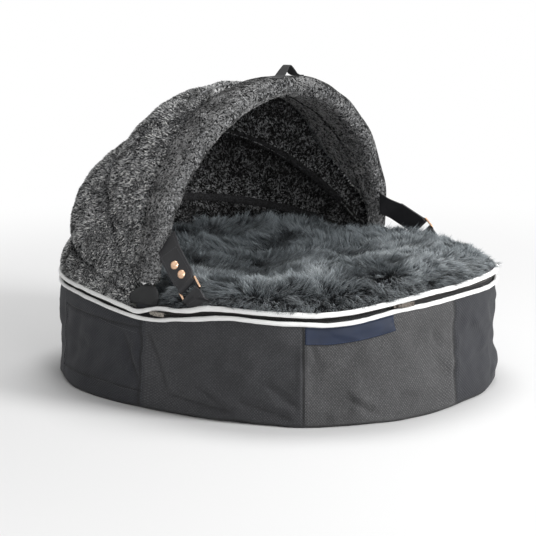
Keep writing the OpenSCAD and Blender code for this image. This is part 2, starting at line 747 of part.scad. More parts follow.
// The lip lies over the upper piping at the front, and low inside the rim under the hood
collar_h = 5;
function pile_low(a) = mix(rim_h(a) + pile_lip, pad_top + gap + collar_h, pile_back(a));
pile_edge_in_shares = [0.12, 0, 0.04, 0.48];
pile_edge_up_shares = [0, 0.3, 0.7, 1];
pile_edges = len(pile_edge_in_shares);
pile_wave = 3;
function pile_edge(a, inset, rise) = concat(out_pt(a, inset), pile_low(a) + rise);
pile_scale_shares = [0.86, 0.64, 0.4, 0.18];
pile_level_shares = [1, 1, 0.9, 0.8];
nest_shares = [0, 0.4, 0.85, 1];
function pile_scaled(a, k) =
    let (p = out_pt(a, pile_in_front) * pile_scale_shares[k])
    let (z = rim_h(a) * (pile_scale_shares[k]) + wall_height * (1 - pile_scale_shares[k]))
    let (wave = pile_wave * sin(3 * a + 40) * sin(180 * pile_scale_shares[k]))
    let (crest = pile_crest_rise * pile_level_shares[k] - nest_depth * nest_shares[k])
    [p[0], p[1], z + piping_step + crest + wave];
function pile_ring(k) = [for (i = [0:pile_steps - 1]) let (a = 360 * i / pile_steps)
    k == 0 ? concat(out_pt(a, pad_in), pad_top + gap) :
    k == 1 ? pile_edge(a, pad_in, 0) :
    k < pile_edges + 2 ? pile_edge(a, pile_in(a) + pile_edge_rise * pile_edge_in_shares[k - 2],
        pile_edge_rise * pile_edge_up_shares[k - 2] * (1 + 0.2 * pile_back(a))) :
    pile_scaled(a, k - pile_edges - 2)];
pile_rings = 2 + pile_edges + len(pile_scale_shares);
module pile_form() {
    n = pile_rings;
    m = pile_steps;
    pts = concat(join([for (k = [0:n - 1]) pile_ring(k)]),
        [[0, 0, pad_top + gap], [0, 0, wall_height + piping_step + pile_crest_rise * 0.8 - nest_depth]]);
    polyhedron(pts, concat(side_faces(n, m, false),
        [for (j = [0:m - 1]) [n * m, j, (j + 1) % m]],
        [for (j = [0:m - 1]) [n * m + 1, (n - 1) * m + (j + 1) % m, (n - 1) * m + j]]));
}
module pile_top() {
    color("#454d50")
    difference() {
        pile_form();
        pivot_pockets(pad_top, pivot_z);
    }
}

// Zip sliders and pulls: local X points out of the bed, Y runs along the zip
slider_front = 10;
side_zip_turn = 180 + asin(pow(slider_front / half_l, outline_square / 2));
front_zip_turn = 250;
slider_h = piping_step - (lower_piping_d + upper_piping_d) / 2 - 3 * gap;
slider_mid = piping_step / 2 - (upper_piping_d - lower_piping_d) / 4;
slider_out = 0.6;
bail_r = 0.9;
bail_plate = 0.8;
pull_t = 1;
pull_w = 6;
eye_wall = bail_r + run_fit + pull_t;
bail_x = slider_out + eye_wall + gap;
eye_h = slider_h - 2 * bail_plate - 4 * run_fit;
module at_zip(turn) {
    translate(rim_pt(turn, 0, slider_mid))
    rotate([0, 0, atan2(out_dir(turn)[1], out_dir(turn)[0])])
    rotate([rim_slope(turn), 0, 0])
    children();
}
// The body bridges the coil and carries a pin between two plates for the pull
module slider(turn) {
    depth = tape_in - gap - tape_t;
    at_zip(turn)
    union() {
        difference() {
            translate([-depth, -slider_len / 2, -slider_h / 2])
            cube([depth + slider_out, slider_len, slider_h]);
            for (end = [-1, 1])
            translate([-depth, end * slider_len * 0.62, 0])
            rotate([0, 0, 45])
            cube([slider_len * 0.22, slider_len * 0.22, slider_h + overrun], center = true);
        }
        for (z = [-slider_h / 2, slider_h / 2 - bail_plate]) {
            translate([0, -bail_r, z]) cube([bail_x, 2 * bail_r, bail_plate]);
            translate([bail_x, 0, z]) cylinder(h = bail_plate, r = bail_r, $fn = 32);
        }
        translate([bail_x, 0, -slider_h / 2]) cylinder(h = slider_h, r = bail_r, $fn = 32);
    }
}
module pull(turn) {
    at_zip(turn)
    difference() {
        union() {
            translate([bail_x, 0, -eye_h / 2]) cylinder(h = eye_h, r = eye_wall, $fn = 32);
            translate([bail_x + eye_wall - pull_t, 0, -eye_h / 2]) cube([pull_t, bail_r * 5, eye_h]);
            translate([bail_x + eye_wall - pull_t, bail_r * 4, -pull_w / 2])
            cube([pull_t, pull_len - bail_r * 4, pull_w]);
        }
        translate([bail_x, 0, -eye_h]) cylinder(h = 2 * eye_h, r = bail_r + run_fit, $fn = 32);
    }
}
module zip_slider_side() {
    color("#8c8c8e") slider(side_zip_turn);
}
module zip_slider_front() {
    color("#8c8c8e") slider(front_zip_turn);
}
module zip_pull_side() {
    color("#a2a2a4") pull(side_zip_turn);
}
module zip_pull_front() {
    color("#a2a2a4") pull(front_zip_turn);
}

base_panel();
wall_front_left();
wall_front_right();
wall_side_left();
wall_side_right();
wall_rear_left();
wall_rear_right();
lower_piping();
upper_piping();
zip_tape_lower();
zip_tape_upper();
zip_coil();
label_tab();
liner_bag();
bean_filling();
wadding_pad();
pile_top();
pivot_bracket_left();
pivot_bracket_right();
pivot_washers_left();
pivot_washers_right();
foot_patch_left();
foot_patch_right();
hood_skirt();
anchor_strap_left();
anchor_strap_right();
front_strap_left();
front_strap_right();
strap_studs_left();
strap_studs_right();
strap_ring_left();
strap_ring_right();
front_bow();
front_bow_eyes();
hood_front_band();
carry_loop();
middle_bow();
middle_bow_eyes();
middle_bow_sleeve();
hood_panel_front();
rear_bow();
rear_bow_eyes();
rear_bow_sleeve();
hood_panel_rear();
zip_slider_side();
zip_slider_front();
zip_pull_side();
zip_pull_front();
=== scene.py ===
"""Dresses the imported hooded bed: canvas bag, piped zip, long pile top, fleece hood and leather straps."""

import math

import bmesh
import bpy
import numpy as np
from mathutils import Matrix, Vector


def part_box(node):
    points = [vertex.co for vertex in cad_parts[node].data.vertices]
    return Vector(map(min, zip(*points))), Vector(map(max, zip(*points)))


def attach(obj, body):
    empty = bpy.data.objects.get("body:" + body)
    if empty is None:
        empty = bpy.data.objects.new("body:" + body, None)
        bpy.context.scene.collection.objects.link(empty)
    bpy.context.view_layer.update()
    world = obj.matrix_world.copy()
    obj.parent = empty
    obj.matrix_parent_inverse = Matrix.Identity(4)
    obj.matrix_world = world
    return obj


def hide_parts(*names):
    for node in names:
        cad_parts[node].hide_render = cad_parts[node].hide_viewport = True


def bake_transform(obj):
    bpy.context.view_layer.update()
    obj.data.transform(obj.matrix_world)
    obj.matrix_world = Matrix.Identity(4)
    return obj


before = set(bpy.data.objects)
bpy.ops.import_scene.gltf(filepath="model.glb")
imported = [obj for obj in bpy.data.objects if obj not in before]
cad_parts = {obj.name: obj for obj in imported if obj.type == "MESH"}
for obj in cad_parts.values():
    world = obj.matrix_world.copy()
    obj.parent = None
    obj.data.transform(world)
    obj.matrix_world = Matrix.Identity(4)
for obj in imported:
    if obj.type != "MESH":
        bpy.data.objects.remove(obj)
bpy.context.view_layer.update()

bl_info = {
    "name": "Hooded bed",
    "version": (1, 0, 0),
    "blender": (4, 5, 0),
    "location": "View3D > Sidebar > Hooded bed",
    "description": "Builds the visible pieces of the hooded bed around its packed frame",
    "category": "Object",
}

MM = 0.001
PIVOT = (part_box("pivot_washers_right")[0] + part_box("pivot_washers_right")[1]) / 2


def linear(code):
    """Turn an sRGB hex colour into the linear values that a shader reads."""
    shares = [int(code[i:i + 2], 16) / 255 for i in (1, 3, 5)]
    return tuple(c / 12.92 if c <= 0.04045 else ((c + 0.055) / 1.055) ** 2.4 for c in shares)


def length(name, words, metres):
    """A size in metres, as the sidebar shows it."""
    return bpy.props.FloatProperty(name=name, description=words, default=metres, min=0,
                                   subtype="DISTANCE", unit="LENGTH", precision=4)


def turn(name, words, degrees):
    """An angle, kept in radians and shown in degrees."""
    return bpy.props.FloatProperty(name=name, description=words, default=math.radians(degrees),
                                   subtype="ANGLE", unit="ROTATION")


def tint(name, words, code):
    """A colour, whose default is written as an sRGB hex code."""
    return bpy.props.FloatVectorProperty(name=name, description=words, default=linear(code),
                                         size=3, min=0, max=1, subtype="COLOR")


class BagSizes(bpy.types.PropertyGroup):
    """Sizes of the canvas bag, its rim and its pipings."""
    half_length: length("Half length", "Half the bed's length over its wall seam line", 0.318)
    half_width: length("Half width", "Half the bed's width over its wall seam line", 0.283)
    square: bpy.props.FloatProperty(name="Squareness", default=2.37,
                                    description="Squareness of the outline, 2 is an ellipse")
    height: length("Wall height", "Mean height of the lower piping round the rim", 0.1393)
    front_lift: length("Front lift", "Rise of the rim from its middle to the front", 0.0093)
    side_dip: length("Side dip", "Dip of the rim at the two sides", 0.0078)
    swell: length("Wall swell", "Outward swell of the filled wall", 0.0005)
    crease: length("Creases", "Depth of the creases in the canvas", 0.0048)
    lower_radius: length("Lower piping", "Radius of the lower piping", 0.0033)
    upper_radius: length("Upper piping", "Radius of the upper piping", 0.0037)
    piping_step: length("Piping step", "Height from the lower piping to the upper one", 0.0135)
    label_length: length("Label length", "Length of the bare side label", 0.14)
    label_height: length("Label height", "Height of the bare side label", 0.0235)


class PileSizes(bpy.types.PropertyGroup):
    """Sizes of the long pile top."""
    crest: length("Crest", "Height of the pile's crest over the upper piping", 0.042)
    nest: length("Hollow", "Depth of the hollow in the middle of the top", 0.014)
    fibre: length("Fibre", "Length of a pile fibre", 0.0285)
    lock: length("Lock", "Radius of a lock of fibres", 0.0056)
    locks: bpy.props.IntProperty(name="Locks", description="Locks of fibres on the top", default=10900)
    fibres: bpy.props.IntProperty(name="Fibres", description="Fibres in a lock", default=14)


class HoodSizes(bpy.types.PropertyGroup):
    """Sizes of the fleece hood, its front band and its loop."""
    front_lean: turn("Front lean", "Lean of the front bow, forward of upright", 5.5)
    groove_turn: turn("Groove", "Turn of the groove behind the band, back from upright", 6)
    middle_turn: turn("Middle bow", "Turn of the middle bow, back from upright", 45)
    rear_turn: turn("Rear bow", "Turn of the rear bow, back from upright", 76)
    roll: length("Front roll", "Radius of the padded roll at the front edge", 0.017)
    hem: length("Hem", "Depth of the hem inside the band, at the crown", 0.094)
    front_lobe: length("Front lobe", "Swell between the groove and the middle seam", 0.016)
    middle_lobe: length("Middle lobe", "Swell between the middle seam and the rear seam", 0.020)
    skirt_lobe: length("Skirt lobe", "Swell of the skirt over the rim", 0.005)
    cloth: length("Fleece", "Thickness of the fleece with its backing", 0.0045)
    tuft: length("Tuft", "Length of a tuft of the fleece", 0.0066)
    tufts: bpy.props.IntProperty(name="Tufts", description="Tufts on the hood's outside", default=92000)
    loop_width: length("Loop width", "Width of the carry loop's webbing", 0.018)


class StrapSizes(bpy.types.PropertyGroup):
    """Sizes of the leather straps."""
    width: length("Width", "Width of a strap", 0.034)
    leather: length("Leather", "Thickness of one layer of leather", 0.0016)
    stud: length("Stud", "Diameter of a domed stud", 0.0125)
    tilt: turn("Tilt", "Tilt of a front strap back from upright", 43)
    lean: turn("Lean", "Lean of a front strap in towards the hood", 6.5)
    twist: turn("Twist", "Turn of the near front strap to the front", 19)
    doubled: length("Doubled part", "Length over which the front strap is doubled", 0.056)


class BedColours(bpy.types.PropertyGroup):
    """Colours of the bed's cloths, leather and metal."""
    canvas: tint("Canvas", "Charcoal canvas of the bag", "#434344")
    # Painted shade: a darker, colder canvas for the faces that the key light reaches less
    canvas_side: tint("Canvas, sides", "Closer, colder canvas of the side panels", "#2c2d31")
    # The pale end of the canvas's mottle, partly painted light on its soft dents
    canvas_worn: tint("Canvas, worn", "Canvas where it is rubbed or faded", "#626263")
    piping: tint("Piping", "White woven cord of the pipings", "#f0f0ef")
    label: tint("Label", "Navy satin of the bare label", "#182236")
    pile_root: tint("Pile, root", "Long pile near its backing", "#24272a")
    pile_middle: tint("Pile, middle", "Long pile half way up", "#666d71")
    pile_tip: tint("Pile, tip", "Long pile at its tips", "#c6ccce")
    fleece_dark: tint("Fleece, dark", "Dark tufts of the fleece", "#2a2b2c")
    fleece_mid: tint("Fleece, grey", "Grey tufts of the fleece", "#aaabac")
    fleece_pale: tint("Fleece, pale", "Pale tufts of the fleece", "#f6f6f4")
    leather: tint("Leather", "Black strap leather", "#1f1f21")
    rose_metal: tint("Rose metal", "Rose plating of the studs and rings", "#e8c1a2")


SIZE_GROUPS = {"bag": BagSizes, "pile": PileSizes, "hood": HoodSizes, "strap": StrapSizes, "tint": BedColours}


def settings(group):
    """The sidebar's values of one group."""
    return getattr(bpy.context.scene, "hooded_bed_" + group)


def in_mm(group):
    """The lengths of one group in millimetres, its turns in radians and its counts as they are."""
    values = settings(group)
    found = {}
    for prop in values.bl_rna.properties:
        if prop.identifier in ("rna_type", "name"):
            continue
        value = getattr(values, prop.identifier)
        found[prop.identifier] = value / MM if prop.unit == "LENGTH" else value
    return found


# The bed's forms, as functions of arrays, in millimetres

def spow(value, power):
    """A signed power, which keeps the sign of what it raises."""
    return np.sign(value) * np.abs(value) ** power


def smooth(share):
    """A share from 0 to 1 that starts and ends gently."""
    share = np.clip(share, 0, 1)
    return share * share * (3 - 2 * share)


def ripples(points, size, seed, count=9):
    """A smooth random field from -1 to 1, about one wave for each size, made of a few seeded waves."""
    random = np.random.default_rng(seed)
    total = np.zeros(len(points))
    for _ in range(count):
        way = random.normal(size=3)
        way *= 2 * math.pi / size * random.uniform(0.6, 1.5) / np.linalg.norm(way)
        total += np.sin(points @ way + random.uniform(0, 2 * math.pi))
    return total / math.sqrt(count * 1.3)


def outline(a, bag, inset=0.0):
    """Points of the bed's outline at turns a, set in from it, and its outward directions."""
    power = 2 / bag["square"]
    across, along = np.cos(a), np.sin(a)
    place = np.stack([bag["half_width"] * spow(across, power), bag["half_length"] * spow(along, power)], -1)
    way = np.stack([spow(across, 2 - power) / bag["half_width"], spow(along, 2 - power) / bag["half_length"]], -1)
    way /= np.linalg.norm(way, axis=-1, keepdims=True)
    return place - np.asarray(inset)[..., None] * way, way


def flat_of(place):
    """Points of the outline given a height of nought."""
    return np.concatenate([place, 0 * place[:, :1]], -1)


def degrees_from(a, spot):
    """Turns a measured from a spot, the short way round, in degrees."""
    return (a - spot + 180) % 360 - 180


def rim_height(a, bag):
    """Height of the lower piping's middle at turns a."""
    place, _ = outline(a, bag)
    turned = np.arctan2(place[..., 1], place[..., 0])
    return (bag["height"] - bag["front_lift"] * place[..., 1] / bag["half_length"]
            - bag["side_dip"] * np.cos(2 * turned))


# How the filled rim rises and sags under the lower piping and under the upper one: turn in degrees, rise in mm
LOWER_WAVE = (
    (0, 0), (40, 1), (90, 0), (125, 2), (145, 6), (155, 8.3), (162, 6.3), (169, 2), (173, -0.5), (178, -4.5),
    (182, -3.3), (186, 1), (191, 4.2), (197, 7), (201, 7.7), (207, 5.2), (213.5, 0.3), (220, -2.8), (229, -7.8),
    (236, -7), (245, -3), (250, -0.5), (260, -1), (274, -2.2), (288, -4.8), (300, -4), (325, 0), (360, 0))
UPPER_WAVE = (
    (0, 0), (40, 1), (90, 0), (125, 0), (145, 3), (158, 4.5), (164, 1.3), (169, -1), (173, -3.5), (178, -10.8),
    (181, -0.5), (183, 1.5), (186, -0.7), (191, 2), (194, 6.4), (204, 4.3), (211, 0), (226, -6.8), (238, -5.5),
    (247, -3), (262, 0.5), (275, -1.5), (292, -0.5), (325, 0), (360, 0))
# Turns over which a mark's change is spread, in degrees
WAVE_SPREAD = 1.5


def rim_wave(a, share):
    """Rise of the rim over its mean form at turns a, at a share of the way from the lower piping to the upper."""
    degrees = np.degrees(a) % 360
    spread = np.linspace(-WAVE_SPREAD, WAVE_SPREAD, 7)
    soft = [np.mean([np.interp((degrees + s) % 360, *np.array(marks).T) for s in spread], 0)
            for marks in (LOWER_WAVE, UPPER_WAVE)]
    share = np.clip(share, 0, 1)
    return soft[0] * (1 - share) + soft[1] * share


def mean_rim(a, bag, inset, rise):
    """Points set in from the rim's mean form and above it."""
    place, _ = outline(a, bag, inset)
    return np.concatenate([place, (rim_height(a, bag) + rise)[..., None]], -1)


def at_rim(a, bag, inset, rise):
    """Points set in from the rim and above it, on the rim as it sags."""
    points = mean_rim(a, bag, inset, rise)
    points[..., 2] += rim_wave(a, np.asarray(rise) / bag["piping_step"])
    return points


def turn_of(points, bag):
    """Turns in degrees, from 0 to 360, of points near the outline."""
    power = bag["square"] / 2
    return np.degrees(np.arctan2(spow(points[:, 1] / bag["half_length"], power),
                                 spow(points[:, 0] / bag["half_width"], power))) % 360


# Height of an arch's ends over the pivots
ARCH_LOW = 12.0


def arch(u, width, rise, power):
    """Places on an arch: how far out, and how far over the pivots."""
    return np.stack([width * spow(np.cos(u), 2 / power),
                     ARCH_LOW + (rise - ARCH_LOW) * np.abs(np.sin(u)) ** (2 / power)], -1)


def arch_out(u, width, rise, power):
    """Outward directions of an arch, in its own plane."""
    way = np.stack([spow(np.cos(u), 2 - 2 / power) / width, np.abs(np.sin(u)) ** (2 - 2 / power) / rise], -1)
    return way / np.linalg.norm(way, axis=-1, keepdims=True)


def fan(q, back, beside=0.0):
    """Points from places q in the fan's plane, turned back from upright, and set beside that plane."""
    pivot = PIVOT / MM
    return np.stack([q[..., 0], pivot.y + q[..., 1] * np.sin(back) + beside * np.cos(back),
                     pivot.z + q[..., 1] * np.cos(back) - beside * np.sin(back)], -1)


# Making meshes

def add_piece(name, mesh, body=None, stands_for=(), material=None, shade=True):
    """Link a mesh as a piece of the bed, hang it on the body that carries it, and hide the parts that it stands for."""
    piece = bpy.data.objects.new(name, mesh)
    bpy.context.scene.collection.objects.link(piece)
    if shade:
        mesh.polygons.foreach_set("use_smooth", np.ones(len(mesh.polygons), bool))
    for finish in [material] if isinstance(material, bpy.types.Material) else material or []:
        mesh.materials.append(finish)
    if body:
        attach(piece, body)
    if stands_for:
        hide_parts(*stands_for)
    return piece


def formed_grid(name, place, columns, rows, merge=0.0, flip=False):
    """A mesh made from a grid, each point of which place moves, from its two shares, to millimetres."""
    bm = bmesh.new()
    bm.loops.layers.uv.new("UVMap")
    bmesh.ops.create_grid(bm, x_segments=columns, y_segments=rows, size=0.5, calc_uvs=True)
    shares = np.array([v.co[:2] for v in bm.verts]) + 0.5
    for vert, point in zip(bm.verts, place(shares[:, 0], shares[:, 1]) * MM):
        vert.co = point
    if merge:
        bmesh.ops.remove_doubles(bm, verts=bm.verts, dist=merge * MM)
    if flip:
        bmesh.ops.reverse_faces(bm, faces=bm.faces)
    mesh = bpy.data.meshes.new(name)
    bm.to_mesh(mesh)
    bm.free()
    return mesh


def cord_mesh(name, line, radius, sides):
    """A closed round cord along line, a function of a share from 0 to 1, as radius is."""
    def place(u, v):
        middle, out, up = line(u)
        spin = -2 * math.pi * v
        return middle + (out * np.cos(spin)[:, None] + up * np.sin(spin)[:, None]) * radius(u)[:, None]
    return formed_grid(name, place, 720, sides, merge=0.05)


def add_modifier(piece, kind, **values):
    """Add one finishing modifier with its values."""
    modifier = piece.modifiers.new(kind.title(), kind)
    for name, value in values.items():
        setattr(modifier, name, value)
    return modifier


def small_shape(build):
    """The points and triangles of a small shape that build makes in a bmesh, to repeat many times."""
    bm = bmesh.new()
    build(bm)
    bmesh.ops.triangulate(bm, faces=bm.faces)
    bm.verts.index_update()
    points = np.array([v.co for v in bm.verts])
    faces = np.array([[v.index for v in f.verts] for f in bm.faces])
    bm.free()
    return points, faces


def add_field(mesh, name, values):
    """Keep a value for each point of a mesh, for its material to read."""
    field = mesh.attributes.new(name, "FLOAT", "POINT")
    field.data.foreach_set("value", np.asarray(values, np.float32).ravel())


def repeated(name, points, faces, **point_values):
    """One mesh from many copies of a small shape: points is copies by points by 3, in millimetres."""
    copies, count = points.shape[:2]
    index = (faces[None] + np.arange(copies)[:, None, None] * count).reshape(-1, 3)
    mesh = bpy.data.meshes.new(name)
    mesh.vertices.add(copies * count)
    mesh.vertices.foreach_set("co", (points * MM).astype(np.float32).ravel())
    mesh.loops.add(index.size)
    mesh.loops.foreach_set("vertex_index", index.astype(np.int32).ravel())
    mesh.polygons.add(len(index))
    mesh.polygons.foreach_set("loop_start", np.arange(len(index), dtype=np.int32) * 3)
    mesh.update(calc_edges=True)
    for key, values in point_values.items():
        add_field(mesh, key, np.broadcast_to(values, (copies, count)))
    return mesh


def blade(bm, levels=3):
    """A pointed flat fibre, one unit high and one wide."""
    bmesh.ops.create_grid(bm, x_segments=1, y_segments=levels, size=0.5)
    for vert in bm.verts:
        vert.co.y += 0.5
        vert.co.x *= 1.0 - 0.55 * vert.co.y ** 1.5
    tips = [v for v in bm.verts if v.co.y > 0.999]
    bmesh.ops.pointmerge(bm, verts=tips, merge_co=Vector((0, 1, 0)))


def short_blade(bm):
    """A shorter fibre of three triangles, for the fleece."""
    blade(bm, levels=2)


def stitch_form(bm):
    """A stitch: a short rounded bar along X, one unit long and one thick."""
    bmesh.ops.create_cone(bm, segments=6, radius1=0.5, radius2=0.5, depth=0.6, cap_ends=True)
    for vert in bm.verts:
        vert.co = Vector((vert.co.z, vert.co.x, vert.co.y))
    for cap in [f for f in bm.faces if abs(f.normal.x) > 0.9 or len(f.verts) == 6]:
        bmesh.ops.inset_individual(bm, faces=[cap], thickness=0.22)
        for vert in cap.verts:
            vert.co.x += math.copysign(0.2, vert.co.x)


def unit(vectors):
    """Vectors brought to a length of one."""
    return vectors / np.maximum(np.linalg.norm(vectors, axis=-1, keepdims=True), 1e-9)


def scatter(mesh, count, seed):
    """Random places on a mesh, evenly by area, with their outward directions, in millimetres."""
    random = np.random.default_rng(seed)
    mesh.calc_loop_triangles()
    corners = np.empty(len(mesh.loop_triangles) * 3, np.int32)
    mesh.loop_triangles.foreach_get("vertices", corners)
    corners = corners.reshape(-1, 3)
    place = np.empty(len(mesh.vertices) * 3, np.float32)
    mesh.vertices.foreach_get("co", place)
    way = np.empty(len(mesh.vertices) * 3, np.float32)
    mesh.vertex_normals.foreach_get("vector", way)
    place, way = place.reshape(-1, 3).astype(float) / MM, way.reshape(-1, 3).astype(float)
    a, b, c = (place[corners[:, i]] for i in range(3))
    area = np.linalg.norm(np.cross(b - a, c - a), axis=1) / 2
    chosen = random.choice(len(corners), count, p=area / area.sum())
    s, t = random.random(count), random.random(count)
    over = s + t > 1
    s[over], t[over] = 1 - s[over], 1 - t[over]
    shares = np.stack([1 - s - t, s, t], -1)[..., None]
    points = (place[corners[chosen]] * shares).sum(1)
    normals = unit((way[corners[chosen]] * shares).sum(1))
    return points, normals


def grown(root, up, lean, tall, wide, shape, spin, bend=0.35, sag=0.25, pull=None):
    """Places of fibres that grow from roots along up, and curl over towards lean."""
    across, high = shape[:, 0], shape[:, 1]
    side = unit(np.cross(up, lean) + 1e-6)
    fore = unit(np.cross(side, up))
    side = side * np.cos(spin)[:, None] + fore * np.sin(spin)[:, None]
    rise = (tall[:, None] * (high - sag * high ** 2))[..., None]
    reach = (tall[:, None] * (bend * high + (1 - bend) * high ** 2))[..., None]
    points = root[:, None] + up[:, None] * rise + lean[:, None] * reach
    points = points + side[:, None] * (wide[:, None] * across)[..., None]
    return points if pull is None else points + pull[:, None] * (high ** 1.6)[:, None]


def along_run(at, run, values):
    """Vectors at lengths along a line, from those at its points."""
    return np.stack([np.interp(at, run, values[:, i]) for i in range(3)], -1)


def stitched(name, lines, material, body, long, thick, pitch):
    """Rows of stitches: each line is points along a seam and the outward directions of its cloth."""
    shape, faces = small_shape(stitch_form)
    made = []
    for line, out in lines:
        steps = np.linalg.norm(np.diff(line, axis=0), axis=1)
        run = np.concatenate([[0], np.cumsum(steps)])
        at = np.arange(pitch / 2, run[-1], pitch)
        middle = along_run(at, run, line)
        along = unit(along_run(at + 0.5, run, line) - along_run(at - 0.5, run, line))
        up = unit(along_run(at, run, out))
        side = unit(np.cross(up, along))
        up = np.cross(along, side)
        made.append(middle[:, None] + along[:, None] * (shape[:, 0] * long)[:, None]
                    + side[:, None] * (shape[:, 1] * thick)[:, None] + up[:, None] * (shape[:, 2] * thick)[:, None])
    mesh = repeated(name, np.concatenate(made), faces)
    return add_piece(name, mesh, body, material=material)


# Materials

def add_node(tree, kind, inputs=None, stops=None, **values):
    """Add a shader node with its settings, its sockets' values or links, and its ramp's stops."""
    node = tree.nodes.new(kind)
    for name, value in values.items():
        setattr(node, name, value)
    for name, value in (inputs or {}).items():
        if isinstance(value, bpy.types.NodeSocket):
            tree.links.new(value, node.inputs[name])
        else:
            node.inputs[name].default_value = value
    for place, (position, colour) in enumerate(stops or ()):
        elements = node.color_ramp.elements
        element = elements[place] if place < 2 else elements.new(position)
        element.position = position
        element.color = (*colour, 1)
    return node


def new_material(name, colour, roughness, **sockets):
    """A material with its principled shader: its tree, that shader and the material."""
    found = bpy.data.materials.get(name)
    if found:
        bpy.data.materials.remove(found)
    material = bpy.data.materials.new(name)
    material.use_nodes = True
    material.diffuse_color = (*colour, 1)
    tree = material.node_tree
    tree.nodes.clear()
    shader = add_node(tree, "ShaderNodeBsdfPrincipled", {"Base Color": (*colour, 1), "Roughness": roughness, **sockets})
    add_node(tree, "ShaderNodeOutputMaterial", {"Surface": shader.outputs["BSDF"]})
    return material, tree, shader


def texture(tree, kind, scale, **inputs):
    """A texture over the object's own coordinates, with its scale in features to a metre."""
    coords = add_node(tree, "ShaderNodeTexCoord")
    return add_node(tree, "ShaderNodeTex" + kind, {"Vector": coords.outputs["Object"], "Scale": scale, **inputs})


def reckon(tree, operation, *values):
    """The outcome of a sum on sockets and numbers."""
    return add_node(tree, "ShaderNodeMath", dict(enumerate(values)), operation=operation).outputs[0]


def attribute(tree, name):
    """A field that the mesh carries."""
    return add_node(tree, "ShaderNodeAttribute", attribute_name=name).outputs["Fac"]


def ramp(tree, field, *stops):
    """Colours along a field."""
    return add_node(tree, "ShaderNodeValToRGB", {"Fac": field}, stops).outputs["Color"]


def blended(tree, share, low, high, **values):
    """Two colours mixed by a share."""
    return add_node(tree, "ShaderNodeMix", {0: share, 6: low, 7: high}, data_type="RGBA", **values).outputs[2]


def woven(tree, across, up, tilt=0.0):
    """Heights of a weave whose threads stand the given number to a unit of the UV map, across and up."""
    coords = add_node(tree, "ShaderNodeTexCoord")
    placed = add_node(tree, "ShaderNodeMapping", {
        "Vector": coords.outputs["UV"], "Scale": (across, up, 1), "Rotation": (0, 0, tilt)})
    warp, weft = (add_node(tree, "ShaderNodeTexWave", {
        "Vector": placed.outputs[0], "Scale": math.pi / 10, "Distortion": 0.5, "Detail": 1.0},
        bands_direction=way).outputs["Fac"] for way in "XY")
    return reckon(tree, "MULTIPLY", warp, weft)


def two_tone(tree, shader, field, low, high, start=0.3, end=0.7):
    """Colour a shader between two colours by a field."""
    tree.links.new(ramp(tree, field, (start, low), (end, high)), shader.inputs["Base Color"])


def bumped(tree, shader, height, strength, distance, under=None):
    """Bump a shader by a height field, over another bump where one is given."""
    bump = add_node(tree, "ShaderNodeBump", {"Height": height, "Strength": strength, "Distance": distance * MM})
    if under:
        tree.links.new(under.outputs["Normal"], bump.inputs["Normal"])
    tree.links.new(bump.outputs["Normal"], shader.inputs["Normal"])
    return bump


def scaled(colour, share):
    """A colour made lighter or darker by a share."""
    return tuple(min(1.0, c * share) for c in colour)


# Charcoal polyester canvas: a plain weave of matt threads, mottled in soft blotches that are partly painted shade and
# light of its soft dents, with a faint sheen
def canvas_material():
    colours = settings("tint")
    base, pale_mottle, shaded_tone = tuple(colours.canvas), tuple(colours.canvas_worn), tuple(colours.canvas_side)
    material, tree, shader = new_material("polyester_canvas_woven", base, 0.82, **{
        "Sheen Weight": 0.06, "Sheen Roughness": 0.5, "Specular IOR Level": 0.3})
    # Threads are 0.7 mm apart on the real cloth and are drawn 3 mm apart, to show at this distance
    weave = woven(tree, 1890 / 3.0, 187 / 3.0, math.radians(45))
    # The soft blotches both dent the canvas and colour it, so their tone is partly painted shade and light
    blotch = texture(tree, "Noise", 9.0, Detail=4.0, Roughness=0.6).outputs["Fac"]
    slub = texture(tree, "Noise", 420.0, Detail=2.0).outputs["Fac"]
    tones = reckon(tree, "ADD", blotch, slub)
    thread = reckon(tree, "MULTIPLY", reckon(tree, "MULTIPLY_ADD", weave, 0.52, tones), 0.58)
    # Away from the front panel the canvas is painted darker and colder, and half so on the panel left of it: a painted
    # shade of the faces that the key light reaches less
    plain, shaded_cloth = (ramp(tree, thread, (0.42, low), (0.68, middle), (0.92, high)) for low, middle, high in (
        (scaled(base, 0.62), base, pale_mottle), (scaled(shaded_tone, 0.75), shaded_tone, scaled(shaded_tone, 1.35))))
    cloth = blended(tree, attribute(tree, "side_panel"), plain, shaded_cloth)
    # Painted shade: the canvas is darkened in its narrow creases, along its seams and next to the floor
    folded = blended(tree, attribute(tree, "fold_shade"), cloth, (*scaled(base, 0.22), 1))
    tree.links.new(folded, shader.inputs["Base Color"])
    soft = bumped(tree, shader, blotch, 0.4, 6.0)
    bumped(tree, shader, weave, 0.8, 0.7, soft)
    return material


# Coated cloth of the base: black, close grained and slightly shiny
def base_material():
    material, tree, shader = new_material("coated_base_cloth", linear("#26272a"), 0.6)
    grain = texture(tree, "Voronoi", 520.0).outputs["Distance"]
    two_tone(tree, shader, grain, linear("#1d1e20"), linear("#303134"), 0.1, 0.8)
    bumped(tree, shader, grain, 0.5, 0.3)
    return material


